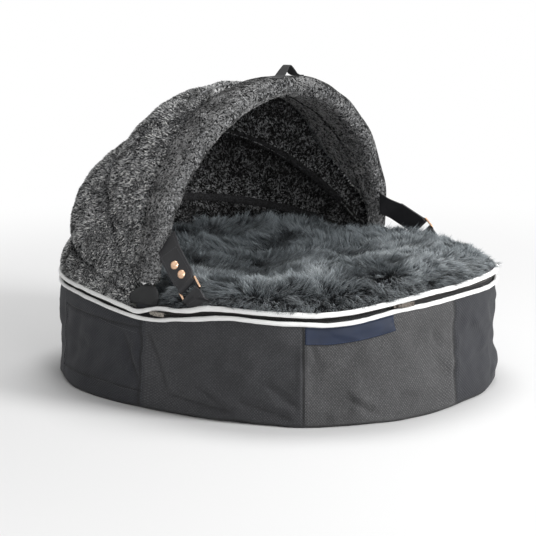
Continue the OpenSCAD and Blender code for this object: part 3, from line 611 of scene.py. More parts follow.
# White cotton piping: a bias strip with fine ribs round its cord, painted a little grey in its hollows as a painted
# shade
def piping_material():
    white = tuple(settings("tint").piping)
    material, tree, shader = new_material("cotton_piping_ribbed", white, 0.75, **{"Sheen Weight": 0.1})
    # Ribs of the strip are 0.8 mm apart and are drawn 1.6 mm apart, slanted round the cord
    weave = woven(tree, 1900 / 1.6, 25 / 1.6, 0.5)
    cloud = texture(tree, "Noise", 60.0, Detail=3.0).outputs["Fac"]
    # Painted shade: the ribs' hollows are tinted grey
    two_tone(tree, shader, reckon(tree, "MULTIPLY_ADD", weave, 0.4, cloud), scaled(white, 0.9), white, 0.2, 0.6)
    bumped(tree, shader, weave, 0.5, 0.3)
    return material


# Black polyester zip tape: a herringbone weave that drinks the light
def tape_material():
    material, tree, shader = new_material("zip_tape_woven", linear("#1a1a1c"), 0.85)
    weave = woven(tree, 1880 / 1.2, 9 / 1.2, 0.7)
    two_tone(tree, shader, weave, linear("#101011"), linear("#2a2a2c"), 0.1, 0.8)
    bumped(tree, shader, weave, 0.6, 0.25)
    return material


# Nylon zip coil: smooth dyed monofilament with a soft gloss
def coil_material():
    material, tree, shader = new_material("nylon_zip_coil", linear("#2c2a29"), 0.38)
    streak = texture(tree, "Noise", 900.0, Detail=2.0).outputs["Fac"]
    two_tone(tree, shader, streak, linear("#1f1d1c"), linear("#3d3a38"))
    bumped(tree, shader, streak, 0.2, 0.1)
    return material


# Navy satin label: a fine damask weave with a silky sheen, and paler floats
def label_material():
    navy = tuple(settings("tint").label)
    material, tree, shader = new_material("damask_label_satin", navy, 0.55, **{"Specular IOR Level": 0.3})
    weave = woven(tree, 140 / 1.4, 26 / 1.4, 0.785)
    cloud = texture(tree, "Noise", 45.0, Detail=3.0).outputs["Fac"]
    field = reckon(tree, "MULTIPLY_ADD", weave, 0.5, cloud)
    two_tone(tree, shader, field, scaled(navy, 0.75), scaled(navy, 1.25), 0.3, 0.95)
    bumped(tree, shader, weave, 0.45, 0.2)
    return material


# Acrylic pile fibres: dark at the root, slate half way, silvered at the tip, with a soft gloss along them
def pile_material():
    colours = settings("tint")
    root, middle, tip = tuple(colours.pile_root), tuple(colours.pile_middle), tuple(colours.pile_tip)
    material, tree, shader = new_material("acrylic_long_pile", middle, 0.62, **{
        "Sheen Weight": 0.15, "Sheen Roughness": 0.4, "Specular IOR Level": 0.35})
    high = attribute(tree, "fibre_height")
    along = ramp(tree, high, (0.0, scaled(root, 0.6)), (0.45, root), (0.8, middle), (1.0, scaled(middle, 1.25)))
    pale = ramp(tree, high, (0.2, root), (0.62, middle), (1.0, tip))
    tree.links.new(blended(tree, attribute(tree, "fibre_tone"), along, pale), shader.inputs["Base Color"])
    return material


# Fleece tufts: looped yarn of black, grey and off-white fibres, matt, with painted shade darkening them down at the
# backing
def fleece_material(name, share):
    # share scales the yarn's colours, which the inside's and the band's copies use to paint shade and light
    colours = settings("tint")
    grey, pale = (scaled(tuple(c), share) for c in (colours.fleece_mid, colours.fleece_pale))
    dark = scaled(tuple(colours.fleece_dark), min(share, 0.55))
    material, tree, shader = new_material(name, grey, 0.9, **{"Sheen Weight": 0.05, "Specular IOR Level": 0.2})
    yarn = ramp(tree, attribute(tree, "fibre_tone"), (0.0, dark), (0.34, scaled(dark, 1.6)), (0.46, grey),
                (0.7, grey), (0.84, pale), (1.0, pale))
    # Painted shade: each tuft is darkened towards its root
    depth = ramp(tree, attribute(tree, "fibre_height"), (0.0, (0.25, 0.25, 0.25)), (0.6, (1, 1, 1)))
    tree.links.new(blended(tree, 1.0, yarn, depth, blend_type="MULTIPLY"), shader.inputs["Base Color"])
    return material


# Knitted backing under the pile and the fleece: dark, with the yarn's flecks
def backing_material(name, low, high, grain):
    material, tree, shader = new_material(name, low, 0.95)
    knit = texture(tree, "Noise", 1000 / grain, Detail=3.0, Roughness=0.7).outputs["Fac"]
    two_tone(tree, shader, knit, low, high, 0.42, 0.66)
    bumped(tree, shader, knit, 0.8, 1.2)
    return material


# Strap leather: black, finely pebbled, with a waxed gloss that is rubbed on the high grain
def leather_material():
    black = tuple(settings("tint").leather)
    material, tree, shader = new_material("waxed_strap_leather", black, 0.5, **{"Specular IOR Level": 0.4})
    # Pebbles of the grain are about 0.9 mm across
    grain = texture(tree, "Voronoi", 1100.0, Randomness=1.0).outputs["Distance"]
    crease = texture(tree, "Noise", 70.0, Detail=5.0).outputs["Fac"]
    field = reckon(tree, "MULTIPLY_ADD", grain, 0.5, crease)
    two_tone(tree, shader, field, scaled(black, 0.7), scaled(black, 1.7), 0.35, 0.95)
    rough = add_node(tree, "ShaderNodeMapRange", {"Value": crease, "To Min": 0.42, "To Max": 0.62})
    tree.links.new(rough.outputs[0], shader.inputs["Roughness"])
    soft = bumped(tree, shader, crease, 0.25, 1.0)
    bumped(tree, shader, grain, 0.35, 0.25, soft)
    return material


# Plated or bare metal: an even base with fine wear, dull in the recesses
def metal_material(name, colour, roughness, grain=300.0, rubbed=0.12, deep=0.86):
    material, tree, shader = new_material(name, colour, roughness, Metallic=1.0)
    wear = texture(tree, "Noise", grain, Detail=6.0, Roughness=0.65).outputs["Fac"]
    two_tone(tree, shader, wear, scaled(colour, deep), scaled(colour, 1.92 - deep), 0.35, 0.65)
    rough = add_node(tree, "ShaderNodeMapRange", {"Value": wear, "From Min": 0.3, "From Max": 0.7,
                                                  "To Min": roughness - rubbed / 2, "To Max": roughness + rubbed})
    tree.links.new(rough.outputs[0], shader.inputs["Roughness"])
    bumped(tree, shader, wear, 0.06, 0.2)
    return material


# Moulded or pulled plastic, foam and fibre: mottled, with a grain of its own size in millimetres
def grained_material(name, low, high, roughness, grain, lift, cells=False):
    material, tree, shader = new_material(name, linear(low), roughness)
    kind, out = ("Voronoi", "Distance") if cells else ("Noise", "Fac")
    field = texture(tree, kind, 1000 / grain).outputs[out]
    two_tone(tree, shader, field, linear(low), linear(high), 0.25, 0.75)
    bumped(tree, shader, field, 0.5, lift)
    return material


# Woven narrow goods, such as webbing and patches: ribs across a dark strip
def webbing_material(name, low, high, across, up):
    material, tree, shader = new_material(name, linear(low), 0.7)
    weave = woven(tree, across, up)
    two_tone(tree, shader, weave, linear(low), linear(high), 0.1, 0.9)
    bumped(tree, shader, weave, 0.6, 0.3)
    return material


# Sewing thread: a plied yarn, mottled between two tones
def thread_material(name, colour, low, high, roughness):
    material, tree, shader = new_material(name, linear(colour), roughness)
    ply = texture(tree, "Noise", 1500.0).outputs["Fac"]
    two_tone(tree, shader, ply, linear(low), linear(high))
    return material


# The bag

# Lengths along the rim for a degree of turn, as the seams and the creases take them
MM_PER_DEGREE = 5.4
CREASE_REACH = 5.6
# How far the cloth sinks before the filling holds it
SUNK = 2.2
# The share of the wall's run that turns in at the foot
FOOT_TURN = 0.14
# Where the base spreads: turn and reach. Where its edge lifts off the floor: turn, spread and rise
BASE_SPREADS = ((150, 4.5), (168, 6.0), (25, 9.0), (285, 3.5), (255, 5.5), (225, 2.0))
BASE_LIFTS = ((203, 5, 4.5), (189, 4, 2.5), (236, 6, 2.5), (214, 3, 2))
# Shares of the shell's run at the edge of its base and at the piping's seam
BASE_EDGE = 0.18
SEAM_EDGE = 0.98
# Turns of the wall's seams. The front panel lies between the two at its corners
SEAM_TURNS = (35.0, 1.5, 178.5, 145.0, 221.5, 270.0, 318.5, 90.0)
CORNER_TURNS = (221.5, 318.5)
# Creases in the canvas: turn and height of each end, in degrees and millimetres, their width and depth
CREASES = (
    (173.6, 100, 177.9, 34, 5.0, 0.8), (180.0, 108, 183.8, 31, 6.0, 0.8), (176.0, 96, 174.5, 50, 4.0, 0.4),
    (222.0, 73, 252.0, 77, 14.0, 0.55), (224.0, 60, 236.0, 22, 16.0, 1.2), (229.0, 12, 240.0, 34, 14.0, -0.7),
    (300.0, 110, 306.0, 60, 16.0, 1.5), (290.0, 24, 304.0, 40, 14.0, -0.9), (258.0, 92, 268.0, 40, 12.0, 0.5),
    (196.0, 60, 212.0, 22, 12.0, 0.5), (203.0, 32, 218.0, 12, 6.0, 0.7), (211.0, 58, 220.0, 28, 6.0, 0.5),
    (184.0, 27, 201.0, 15, 5.0, 0.8), (192.0, 44, 200.0, 20, 5.0, 0.5), (224.0, 112, 226.0, 84, 5.0, 0.5),
    (262.0, 118, 266.0, 90, 6.0, 0.5), (234.0, 40, 243.0, 16, 6.0, 0.8), (275.0, 112, 283.0, 70, 9.0, 0.7),
    (250.0, 30, 266.0, 16, 10.0, 0.7), (275.0, 88, 288.0, 60, 12.0, 0.6),
    (120.0, 90, 128.0, 30, 12.0, 0.7), (60.0, 100, 52.0, 34, 12.0, 0.8), (10.0, 96, 20.0, 30, 12.0, 0.8),
    (330.0, 90, 342.0, 34, 12.0, 0.9), (352.0, 100, 348.0, 30, 10.0, 0.6), (100.0, 40, 112.0, 16, 10.0, 0.7),
)


def sewn(off, ridge, beside, wide, share):
    """The groove of a sewn line and the ridges beside it, at places off it: how the cloth stands, and the painted shade
    in its groove.
    """
    stand = ridge * np.exp(-((np.abs(off) - beside) / wide) ** 2) - 1.8 * np.exp(-(off / 1.9) ** 2)
    return stand, share * np.exp(-(off / 1.5) ** 2)


def wall_drape(a, z, bag):
    """How far the canvas stands out from its mean form, and the painted shade of its folds and seams, at turns a and
    heights z.
    """
    top = rim_height(np.radians(a), bag)
    share = np.clip(z / top, 0, 1)
    place, _ = outline(np.radians(a), bag)
    points = np.concatenate([place, z[:, None]], -1)
    inside = np.sin(math.pi * np.clip(share, 0, 1)) ** 0.7
    stand = 1.8 * ripples(points * (1, 1, 1.4), 110, 3) * inside + 1.7 * ripples(points * (1, 1, 1.6), 52, 5) * inside
    stand += (1.7 * (0.45 - np.abs(ripples(points * (1, 1, 1.3), 90, 9))) + 0.5 * ripples(points, 26, 7)) * inside
    shade = 0 * a
    # The filled panels flatten out towards the corner seams, so that these stand as soft edges
    for corner in CORNER_TURNS:
        off = np.abs(degrees_from(a, corner)) * MM_PER_DEGREE
        stand += (3.0 * np.exp(-off / 14) - 2.0 * np.exp(-((off - 60) / 40) ** 2)) * inside
    for a0, z0, a1, z1, wide, deep in CREASES:
        way = np.array([(a1 - a0) * CREASE_REACH, z1 - z0])
        span = np.hypot(*way)
        way = way / span
        beside = (a - a0) * CREASE_REACH
        along = beside * way[0] + (z - z0) * way[1]
        off = -beside * way[1] + (z - z0) * way[0]
        body = smooth(along / 18 + 0.4) * smooth((span - along) / 18 + 0.4)
        dip = np.exp(-(off / wide) ** 2) - 0.45 * np.exp(-((off - 1.7 * wide) / wide) ** 2)
        stand -= bag["crease"] * deep * body * dip
        # Narrow creases are also painted darker along their middle, a painted shade
        if wide < 8:
            shade = np.maximum(shade, 0.75 * deep * body * np.exp(-(off / 1.6) ** 2))
    for seam in SEAM_TURNS:
        off = degrees_from(a, seam) * MM_PER_DEGREE
        lift, dark = sewn(off, 0.9, 5.5, 3.4, 0.8)
        stand, shade = stand + lift * inside, np.maximum(shade, dark)
    # The side panel's yoke and its lower seam
    panel = smooth((a - 144) / 2) * smooth((180 - a) / 2) + smooth(a / 2) * smooth((36 - a) / 2)
    for level in (0.865, 0.185):
        off = (share - level) * top
        lift, dark = sewn(off, 0.8, 4.5, 3, 0.75)
        stand, shade = stand + lift * panel, np.maximum(shade, dark * panel)
    # The filling keeps the cloth from sinking far
    return np.where(stand < -SUNK, -SUNK + (stand + SUNK) * 0.3, stand), shade


def wall_point(a, v, bag, lift=0.0):
    """Points of the wall at turns a in degrees and shares v, from the bottom turn to the lower piping."""
    radians = np.radians(a)
    top = rim_height(radians, bag) + rim_wave(radians, 0) - bag["lower_radius"] * 0.35
    place, _ = outline(radians, bag)
    flat = flat_of(place)
    corner = 4.5 + 1.5 * ripples(flat, 70, 11)
    # A quarter round at the bottom, then the swelling wall
    turned = np.clip(v / FOOT_TURN, 0, 1) * math.pi / 2
    straight = np.clip((v - FOOT_TURN) / (1 - FOOT_TURN), 0, 1)
    z = corner * 1.2 * (1 - np.cos(turned)) + (top - corner * 1.2) * straight
    inset = corner * (1 - np.sin(turned)) - bag["swell"] * np.sin(math.pi * straight ** 0.9) ** 0.8 * (v > FOOT_TURN)
    inset = inset + 1.2 + 1.5 * smooth((straight - 0.9) / 0.1) + 2.2 * ripples(flat, 85, 12) * (1 - smooth(v / 0.4))
    inset = inset + 1.0 * np.exp(-((a - 300) / 22) ** 2)
    for spot, reach in BASE_SPREADS:
        inset = inset - reach * np.exp(-(degrees_from(a, spot) / 24) ** 2) * (1 - smooth(v / 0.55))
    inset = inset - wall_drape(a, z, bag)[0] * smooth(v / 0.16) - lift
    for spot, reach, rise in BASE_LIFTS:
        z = z + rise * np.exp(-((a - spot) / reach) ** 2) * (1 - smooth(v / 0.22))
    place, way = outline(radians, bag, inset)
    return np.concatenate([place, z[:, None]], -1), flat_of(way)


class HOODEDBED_OT_bag(bpy.types.Operator):
    """Make the canvas bag with its base, its seams and its stitches"""
    bl_idname = "hooded_bed.bag"
    bl_label = "Canvas bag"

    def execute(self, context):
        bag = in_mm("bag")

        def place(u, v):
            points, _ = wall_point(360 * u, np.clip((v - BASE_EDGE) / (SEAM_EDGE - BASE_EDGE), 0, 1), bag)
            # Below the turn the cloth runs in under the bed, and above it into the piping's seam
            under = v < BASE_EDGE
            foot, _ = wall_point(360 * u[under], np.zeros(under.sum()), bag)
            points[under] = foot * (v[under] / BASE_EDGE)[:, None]
            points[under, 2] = 0.0
            above = v > SEAM_EDGE
            share = (v[above] - SEAM_EDGE) / (1 - SEAM_EDGE)
            points[above] = at_rim(np.radians(360 * u[above]), bag, 1.5 + 3.6 * share,
                                   -bag["lower_radius"] * (0.35 + share * 0.3))
            return points

        mesh = formed_grid("bag_canvas_shell", place, 1150, 78, merge=0.02)
        points = np.array([v.co for v in mesh.vertices]) / MM
        turned = turn_of(points, bag)
        _, shade = wall_drape(turned, points[:, 2], bag)
        # Painted contact shadow: the canvas darkens within 6 mm of the floor
        shade = np.maximum(shade * (points[:, 2] > 3), 0.8 * smooth((6 - points[:, 2]) / 6))
        # A field of painted shade: full away from the front panel, half on the panel left of it
        side = 1 - smooth((turned - 179.2) / 0.6) * smooth((270.3 - turned) / 0.6)
        side = np.maximum(side, 0.55 * smooth((221.8 - turned) / 0.6))
        add_field(mesh, "fold_shade", shade)
        add_field(mesh, "side_panel", side)
        piece = add_piece("bag_canvas_shell", mesh, "base", (
            "wall_front_left", "wall_front_right", "wall_side_left", "wall_side_right", "wall_rear_left",
            "wall_rear_right", "base_panel"), [canvas_material(), base_material()])
        for face in mesh.polygons:
            face.material_index = int(face.center.z < 0.4 * MM)

        thread = thread_material("polyester_thread", "#4c4d50", "#3c3d40", "#606165", 0.6)
        lines = []
        level = np.linspace(FOOT_TURN, 0.985, 90)
        for seam in SEAM_TURNS:
            for beside in (0.62, 1.5) if seam in CORNER_TURNS else (0.62,):
                points, out = wall_point(np.full(90, seam + beside), level, bag, 0.12)
                lines.append((points, out))
        for start, end in ((145.6, 177.9), (2.1, 34.4)):
            for share in (0.853, 0.168):
                turns = np.linspace(start, end, 160)
                height = np.full(160, share * (1 - FOOT_TURN) + FOOT_TURN - 0.02)
                points, out = wall_point(turns, height, bag, 0.12)
                lines.append((points, out))
        stitched("bag_topstitch", lines, thread, "base", 2.6, 0.55, 3.6)
        return {"FINISHED"}


class HOODEDBED_OT_pipings(bpy.types.Operator):
    """Make the two white pipings round the rim"""
    bl_idname = "hooded_bed.pipings"
    bl_label = "Pipings"

    def execute(self, context):
        bag = in_mm("bag")
        white = piping_material()
        for name, rise, radius, seed in (("lower_piping", -0.4, bag["lower_radius"], 21),
                                         ("upper_piping", bag["piping_step"], bag["upper_radius"], 22)):
            def line(u, rise=rise, seed=seed):
                a = 2 * math.pi * u
                place, way = outline(a, bag)
                flat = flat_of(place)
                wander = 0.4 * ripples(flat, 90, seed) + 0.2 * ripples(flat, 30, seed + 5)
                middle = at_rim(a, bag, 1.5 + 0.35 * ripples(flat, 60, seed + 9), rise + wander)
                return middle, flat_of(way), np.array([[0.0, 0.0, 1.0]])

            def thick(u, radius=radius, seed=seed):
                place, _ = outline(2 * math.pi * u, bag)
                flat = flat_of(place)
                # The cord is drawn thin over the side and bulges where the rim rises in front of it
                drawn = np.interp(360 * u, [120, 145, 186, 194, 202, 215], [1, 0.8, 0.85, 1.12, 0.95, 1])
                return radius * drawn * (1 + 0.05 * ripples(flat, 34, seed + 2) + 0.03 * ripples(flat, 9, seed + 3))

            mesh = cord_mesh(name + "_cord", line, thick, 18)
            piece = add_piece(name + "_cord", mesh, "base", (name,), white)
        return {"FINISHED"}


def tooth_form(bm):
    """A zip tooth: a short bent bar, one unit each way."""
    bmesh.ops.create_cube(bm, size=1.0)
    edges = [e for e in bm.edges if abs(e.verts[0].co.z - e.verts[1].co.z) > 0.5]
    bmesh.ops.bevel(bm, geom=edges, offset=0.28, affect="EDGES", segments=1, profile=0.5, material=-1)


# Teeth on each side of the zip
TEETH = 1250


class HOODEDBED_OT_zip(bpy.types.Operator):
    """Make the zip's two tapes and its coil of teeth"""
    bl_idname = "hooded_bed.zip"
    bl_label = "Zip"

    def execute(self, context):
        bag = in_mm("bag")
        middle = bag["piping_step"] / 2
        top = bag["piping_step"] + bag["upper_radius"]
        tape = tape_material()
        for name, low, high in (("zip_tape_lower", -6.0, middle - 1.65), ("zip_tape_upper", middle + 1.65, top)):
            def place(u, v, low=low, high=high):
                a = 2 * math.pi * u
                plain, _ = outline(a, bag)
                flat = flat_of(plain)
                inset = 6.5 + 0.25 * ripples(flat, 34, 31) * np.sin(math.pi * v)
                return at_rim(a, bag, inset, low + (high - low) * v)

            mesh = formed_grid(name + "_woven", place, 500, 5, merge=0.02)
            piece = add_piece(name + "_woven", mesh, "base", (name,), tape)
            add_modifier(piece, "SOLIDIFY", thickness=1.0 * MM, offset=-0.6)

        shape, faces = small_shape(tooth_form)
        a = 2 * math.pi * (np.arange(TEETH) + 0.5) / TEETH
        place, way = outline(a, bag, 6.6)
        sliders = np.stack([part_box(node)[0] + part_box(node)[1] for node in ("zip_slider_side", "zip_slider_front")])
        level = rim_wave(a, 0.5)
        for turned in np.radians(turn_of(sliders / 2 / MM, bag)):
            level = level * (1 - np.exp(-(((a - turned + math.pi) % math.tau - math.pi) / 0.07) ** 2))
        root = np.concatenate([place, (rim_height(a, bag) + middle + level)[:, None]], -1)
        out = flat_of(way)
        along = np.stack([-way[:, 1], way[:, 0], 0 * way[:, 0]], -1)
        up = np.array([[0.0, 0.0, 1.0]])
        parts = []
        for side in (-1, 1):
            shift = root + up * side * 0.55 + along * side * 0.38
            parts.append(shift[:, None] + along[:, None] * (shape[:, 0] * 0.62)[:, None]
                         + out[:, None] * (shape[:, 1] * 2.5)[:, None] + up[:, None] * (shape[:, 2] * 1.9)[:, None])
        mesh = repeated("zip_coil_teeth", np.concatenate(parts), faces)
        add_piece("zip_coil_teeth", mesh, "base", ("zip_coil",), coil_material(), shade=False)
        return {"FINISHED"}


# The turn at which the label starts
LABEL_START = math.radians(222.0)


class HOODEDBED_OT_label(bpy.types.Operator):
    """Make the bare navy label that hangs from the lower piping"""
    bl_idname = "hooded_bed.label"
    bl_label = "Bare label"

    def execute(self, context):
        bag = in_mm("bag")
        tall = bag["label_height"]
        span = bag["label_length"] / (bag["half_length"] + bag["half_width"]) * 2

        def place(u, v):
            a = LABEL_START + span * u
            drop = tall * (1 - v)
            level = np.clip(1 - (drop + 3) / rim_height(a, bag), 0, 1)
            wall, _ = wall_point(np.degrees(a), level * (1 - FOOT_TURN) + FOOT_TURN, bag)
            _, way = outline(a, bag)
            # It stands off the wall more towards its foot, waves a little, and curls out at one corner
            corner = smooth((u - 0.72) / 0.28) * smooth((drop - tall * 0.3) / (tall * 0.7))
            stand = 1.2 + 1.0 * drop / tall + 0.8 * np.sin(math.pi * u) * drop / tall + 4.2 * corner ** 1.5
            stand = stand + 0.5 * np.sin(u * 9.0) * drop / tall
            rim = at_rim(a, bag, 0.0, -bag["lower_radius"] - drop + 2.4 * corner ** 2)
            flat = flat_of(way)
            base = np.where((drop < 2)[:, None], at_rim(a, bag, 0.4, -bag["lower_radius"] - drop), wall)
            rim[:, :2] = base[:, :2]
            return rim + flat * stand[:, None]

        mesh = formed_grid("label_woven", place, 90, 22)
        piece = add_piece("label_woven", mesh, "base", ("label_tab",), label_material())
        add_modifier(piece, "SOLIDIFY", thickness=0.7 * MM, offset=-1.0)

        thread = thread_material("label_edge_thread", "#22304a", "#1c2740", "#35466a", 0.55)
        lines = []
        for u0, u1, v0, v1 in ((0.02, 0.98, 0.06, 0.06), (0.015, 0.015, 0.06, 0.95), (0.985, 0.985, 0.06, 0.95)):
            share = np.linspace(0, 1, 60)
            points = place(u0 + (u1 - u0) * share, v0 + (v1 - v0) * share)
            _, way = outline(LABEL_START + span * (u0 + (u1 - u0) * share), bag)
            out = flat_of(way)
            lines.append((points + out * 0.1, out))
        stitched("label_edge_stitch", lines, thread, "base", 2.2, 0.4, 2.8)
        return {"FINISHED"}


# The long pile top

# How far the backing lies below the tips of the pile
PILE_DROP = 21.5
# Into how many pieces the fibres are split, so that no piece is too large
PILE_SECTORS = 8


# From the middle to the rim: share of the outline, share of the crest's height, share of the hollow's depth
PILE_PROFILE = (
    (0.0, 0.8, 1.0), (0.18, 0.8, 1.0), (0.4, 0.9, 0.85), (0.64, 1.0, 0.4), (0.86, 1.0, 0.0), (1.0, 0.62, 0.0))


def pile_base(rho, a, bag, pile):
    """Points of the pile's backing at shares rho of the outline."""
    scale, level, nest = np.array(PILE_PROFILE).T
    edge = outline(a, bag, 4.0)[0]
    back = smooth((edge[:, 1] + bag["half_length"] * 0.16) / (bag["half_length"] * 0.19))
    share = rho * (1 - (5 + 36 * back) / 300)
    place = edge * share[:, None]
    crest = pile["crest"] * np.interp(share, scale, level) - pile["nest"] * np.interp(share, scale, nest)
    z = rim_height(a, bag) * share + bag["height"] * (1 - share) + bag["piping_step"] + crest
    z = z + 3 * np.sin(3 * a + math.radians(40)) * np.sin(math.pi * share)
    flat = flat_of(place)
    heap = 2.4 * ripples(flat, 150, 41) + 2.4 * ripples(flat, 62, 42)
    z = z + heap * smooth((1.02 - rho) / 0.2) - PILE_DROP * smooth((1.0 - rho) / 0.09)
    low = rim_height(a, bag) + rim_wave(a, 1) + bag["piping_step"] + bag["upper_radius"] - 2.5 - 9 * back
    fall = smooth((rho - 0.88) / 0.12)
    z = z * (1 - fall) + low * fall
    return np.concatenate([place, z[:, None]], -1)


class HOODEDBED_OT_pile(bpy.types.Operator):
    """Make the long pile top: its backing and its locks of fibres"""
    bl_idname = "hooded_bed.pile"
    bl_label = "Long pile top"

    def execute(self, context):
        bag, pile = in_mm("bag"), in_mm("pile")
        colours = settings("tint")
        root_tone = tuple(colours.pile_root)
        backing = backing_material("pile_knit_backing", scaled(root_tone, 0.6), root_tone, 3)
        mesh = formed_grid("pile_backing", lambda u, v: pile_base(1 - v, 2 * math.pi * u, bag, pile), 240, 60,
                           merge=0.02)
        piece = add_piece("pile_backing", mesh, "base", ("pile_top",), backing)

        random = np.random.default_rng(7)
        count = pile["locks"]
        root, up = scatter(mesh, count, 8)
        outward = root * (1 / bag["half_width"] ** 2, 1 / bag["half_length"] ** 2, 0)
        edge = (np.abs(root[:, 0] / bag["half_width"]) ** bag["square"]
                + np.abs(root[:, 1] / bag["half_length"]) ** bag["square"]) ** (1 / bag["square"])
        # The pile is combed in waves: its lean turns slowly from place to place, and falls outward at the rim
        heading = 2.6 * ripples(root * (1, 1, 0), 170, 51) + 1.1 * ripples(root * (1, 1, 0), 60, 52)
        comb = np.stack([np.cos(heading), np.sin(heading), 0 * heading], -1)
        rim = smooth((edge - 0.84) / 0.13)[:, None]
        lean = comb * (1 - rim) * 0.72 + unit(outward) * (0.2 + 0.8 * rim)
        lean = lean + random.normal(size=lean.shape) * 0.14
        lean -= up * (lean * up).sum(1, keepdims=True)
        up = unit(up + (0, 0, 0.2))
        tall = pile["fibre"] * (0.88 + 0.2 * ripples(root, 40, 53) + 0.07 * random.normal(size=count))
        tall = tall * (1 - 0.4 * smooth((edge - 0.88) / 0.09))
        # It lies lower at the front corner away from the label
        low = smooth(root[:, 0] / 120) * smooth((-root[:, 1] - 20) / 120)
        tall = tall * (1 - 0.18 * low)
        root[:, 2] -= 1.2 * low
        tall = tall * (1 - 0.55 * np.exp(-((root[:, 1] + 72) / 26) ** 4) * smooth((edge - 0.84) / 0.08))
        under = smooth((root[:, 1] - 20) / 60) * smooth((edge - 0.78) / 0.12)
        tall = tall * (1 - 0.4 * under)
        # The fibres' tone is painted: darker near the hood, a painted shadow of the hood; darker on the near side, a
        # painted shade; paler in front of the middle, a painted light; and patchy at random
        hood_shadow_paint = smooth((root[:, 1] + root[:, 0] * 0.5 + 70) / 150)
        paler = 0.16 * np.exp(-(((root[:, 0] + 30) / 110) ** 2 + ((root[:, 1] + 220) / 70) ** 2))
        patches = 0.3 * ripples(root, 75, 54) + 0.22 * random.normal(size=count)
        shade = np.clip(0.43 - 0.8 * hood_shadow_paint - 0.16 * smooth((-120 - root[:, 0]) / 80) + paler + patches, 0, 1)
        tip = root + up * (tall * 0.8)[:, None] + lean * (tall * 0.55)[:, None]

        per = pile["fibres"]
        shape, faces = small_shape(blade)
        around = random.normal(size=(count, per, 3)) * pile["lock"] * 0.62
        flat = around - up[:, None] * (around * up[:, None]).sum(-1, keepdims=True)
        roots = root[:, None] + flat - up[:, None] * 1.5
        own_lean = lean[:, None] + random.normal(size=(count, per, 3)) * 0.13
        own_tall = tall[:, None] * random.uniform(0.8, 1.04, (count, per))
        own_tip = roots + up[:, None] * (own_tall * 0.8)[..., None] + own_lean * (own_tall * 0.55)[..., None]
        pull = (tip[:, None] - own_tip) * random.uniform(0.2, 0.62, (count, per, 1))
        total = count * per
        tone = np.clip(shade[:, None] + 0.16 * random.normal(size=(count, per)), 0, 1).reshape(-1)
        points = grown(roots.reshape(-1, 3), np.repeat(up, per, 0), own_lean.reshape(-1, 3), own_tall.ravel(),
                       random.uniform(0.7, 1.5, total), shape, random.uniform(-1.2, 1.2, total), 0.3, 0.34,
                       pull.reshape(-1, 3))
        material = pile_material()
        flat_root = roots.reshape(-1, 3)
        sector = (np.degrees(np.arctan2(flat_root[:, 0], flat_root[:, 1])) + 180) // (360 / PILE_SECTORS)
        sector = np.clip(sector, 0, PILE_SECTORS - 1)
        for part in range(PILE_SECTORS):
            chosen = sector == part
            mesh = repeated(f"pile_fibres_{part + 1}", points[chosen], faces, fibre_height=shape[:, 1][None],
                            fibre_tone=tone[chosen][:, None])
            add_piece(mesh.name, mesh, "base", (), material)
        return {"FINISHED"}


# The hood

# Arches over the bows: half width, height over the pivots, and how square
FRONT_ARCH = (264.605, 273.0, 2.0)
GROOVE_ARCH = (269.505, 276.0, 2.0)
MIDDLE_ARCH = (267.505, 274.0, 2.05)
REAR_ARCH = (274.005, 284.0, 2.25)
# How high over the pivots the cover starts
FOOT_RADIUS = 19.0
# Shares of the cover's run at its groove, its two seams and the rim
COVER_MARKS = (0.0, 0.4, 0.68, 1.0)
# Turns back from upright of the cover's seams and of the rim behind it
SEAM_ANGLES = (6, 45, 76)


def mixed(low, high, share):
    """A value between two, at a share."""
    return low + (high - low) * share


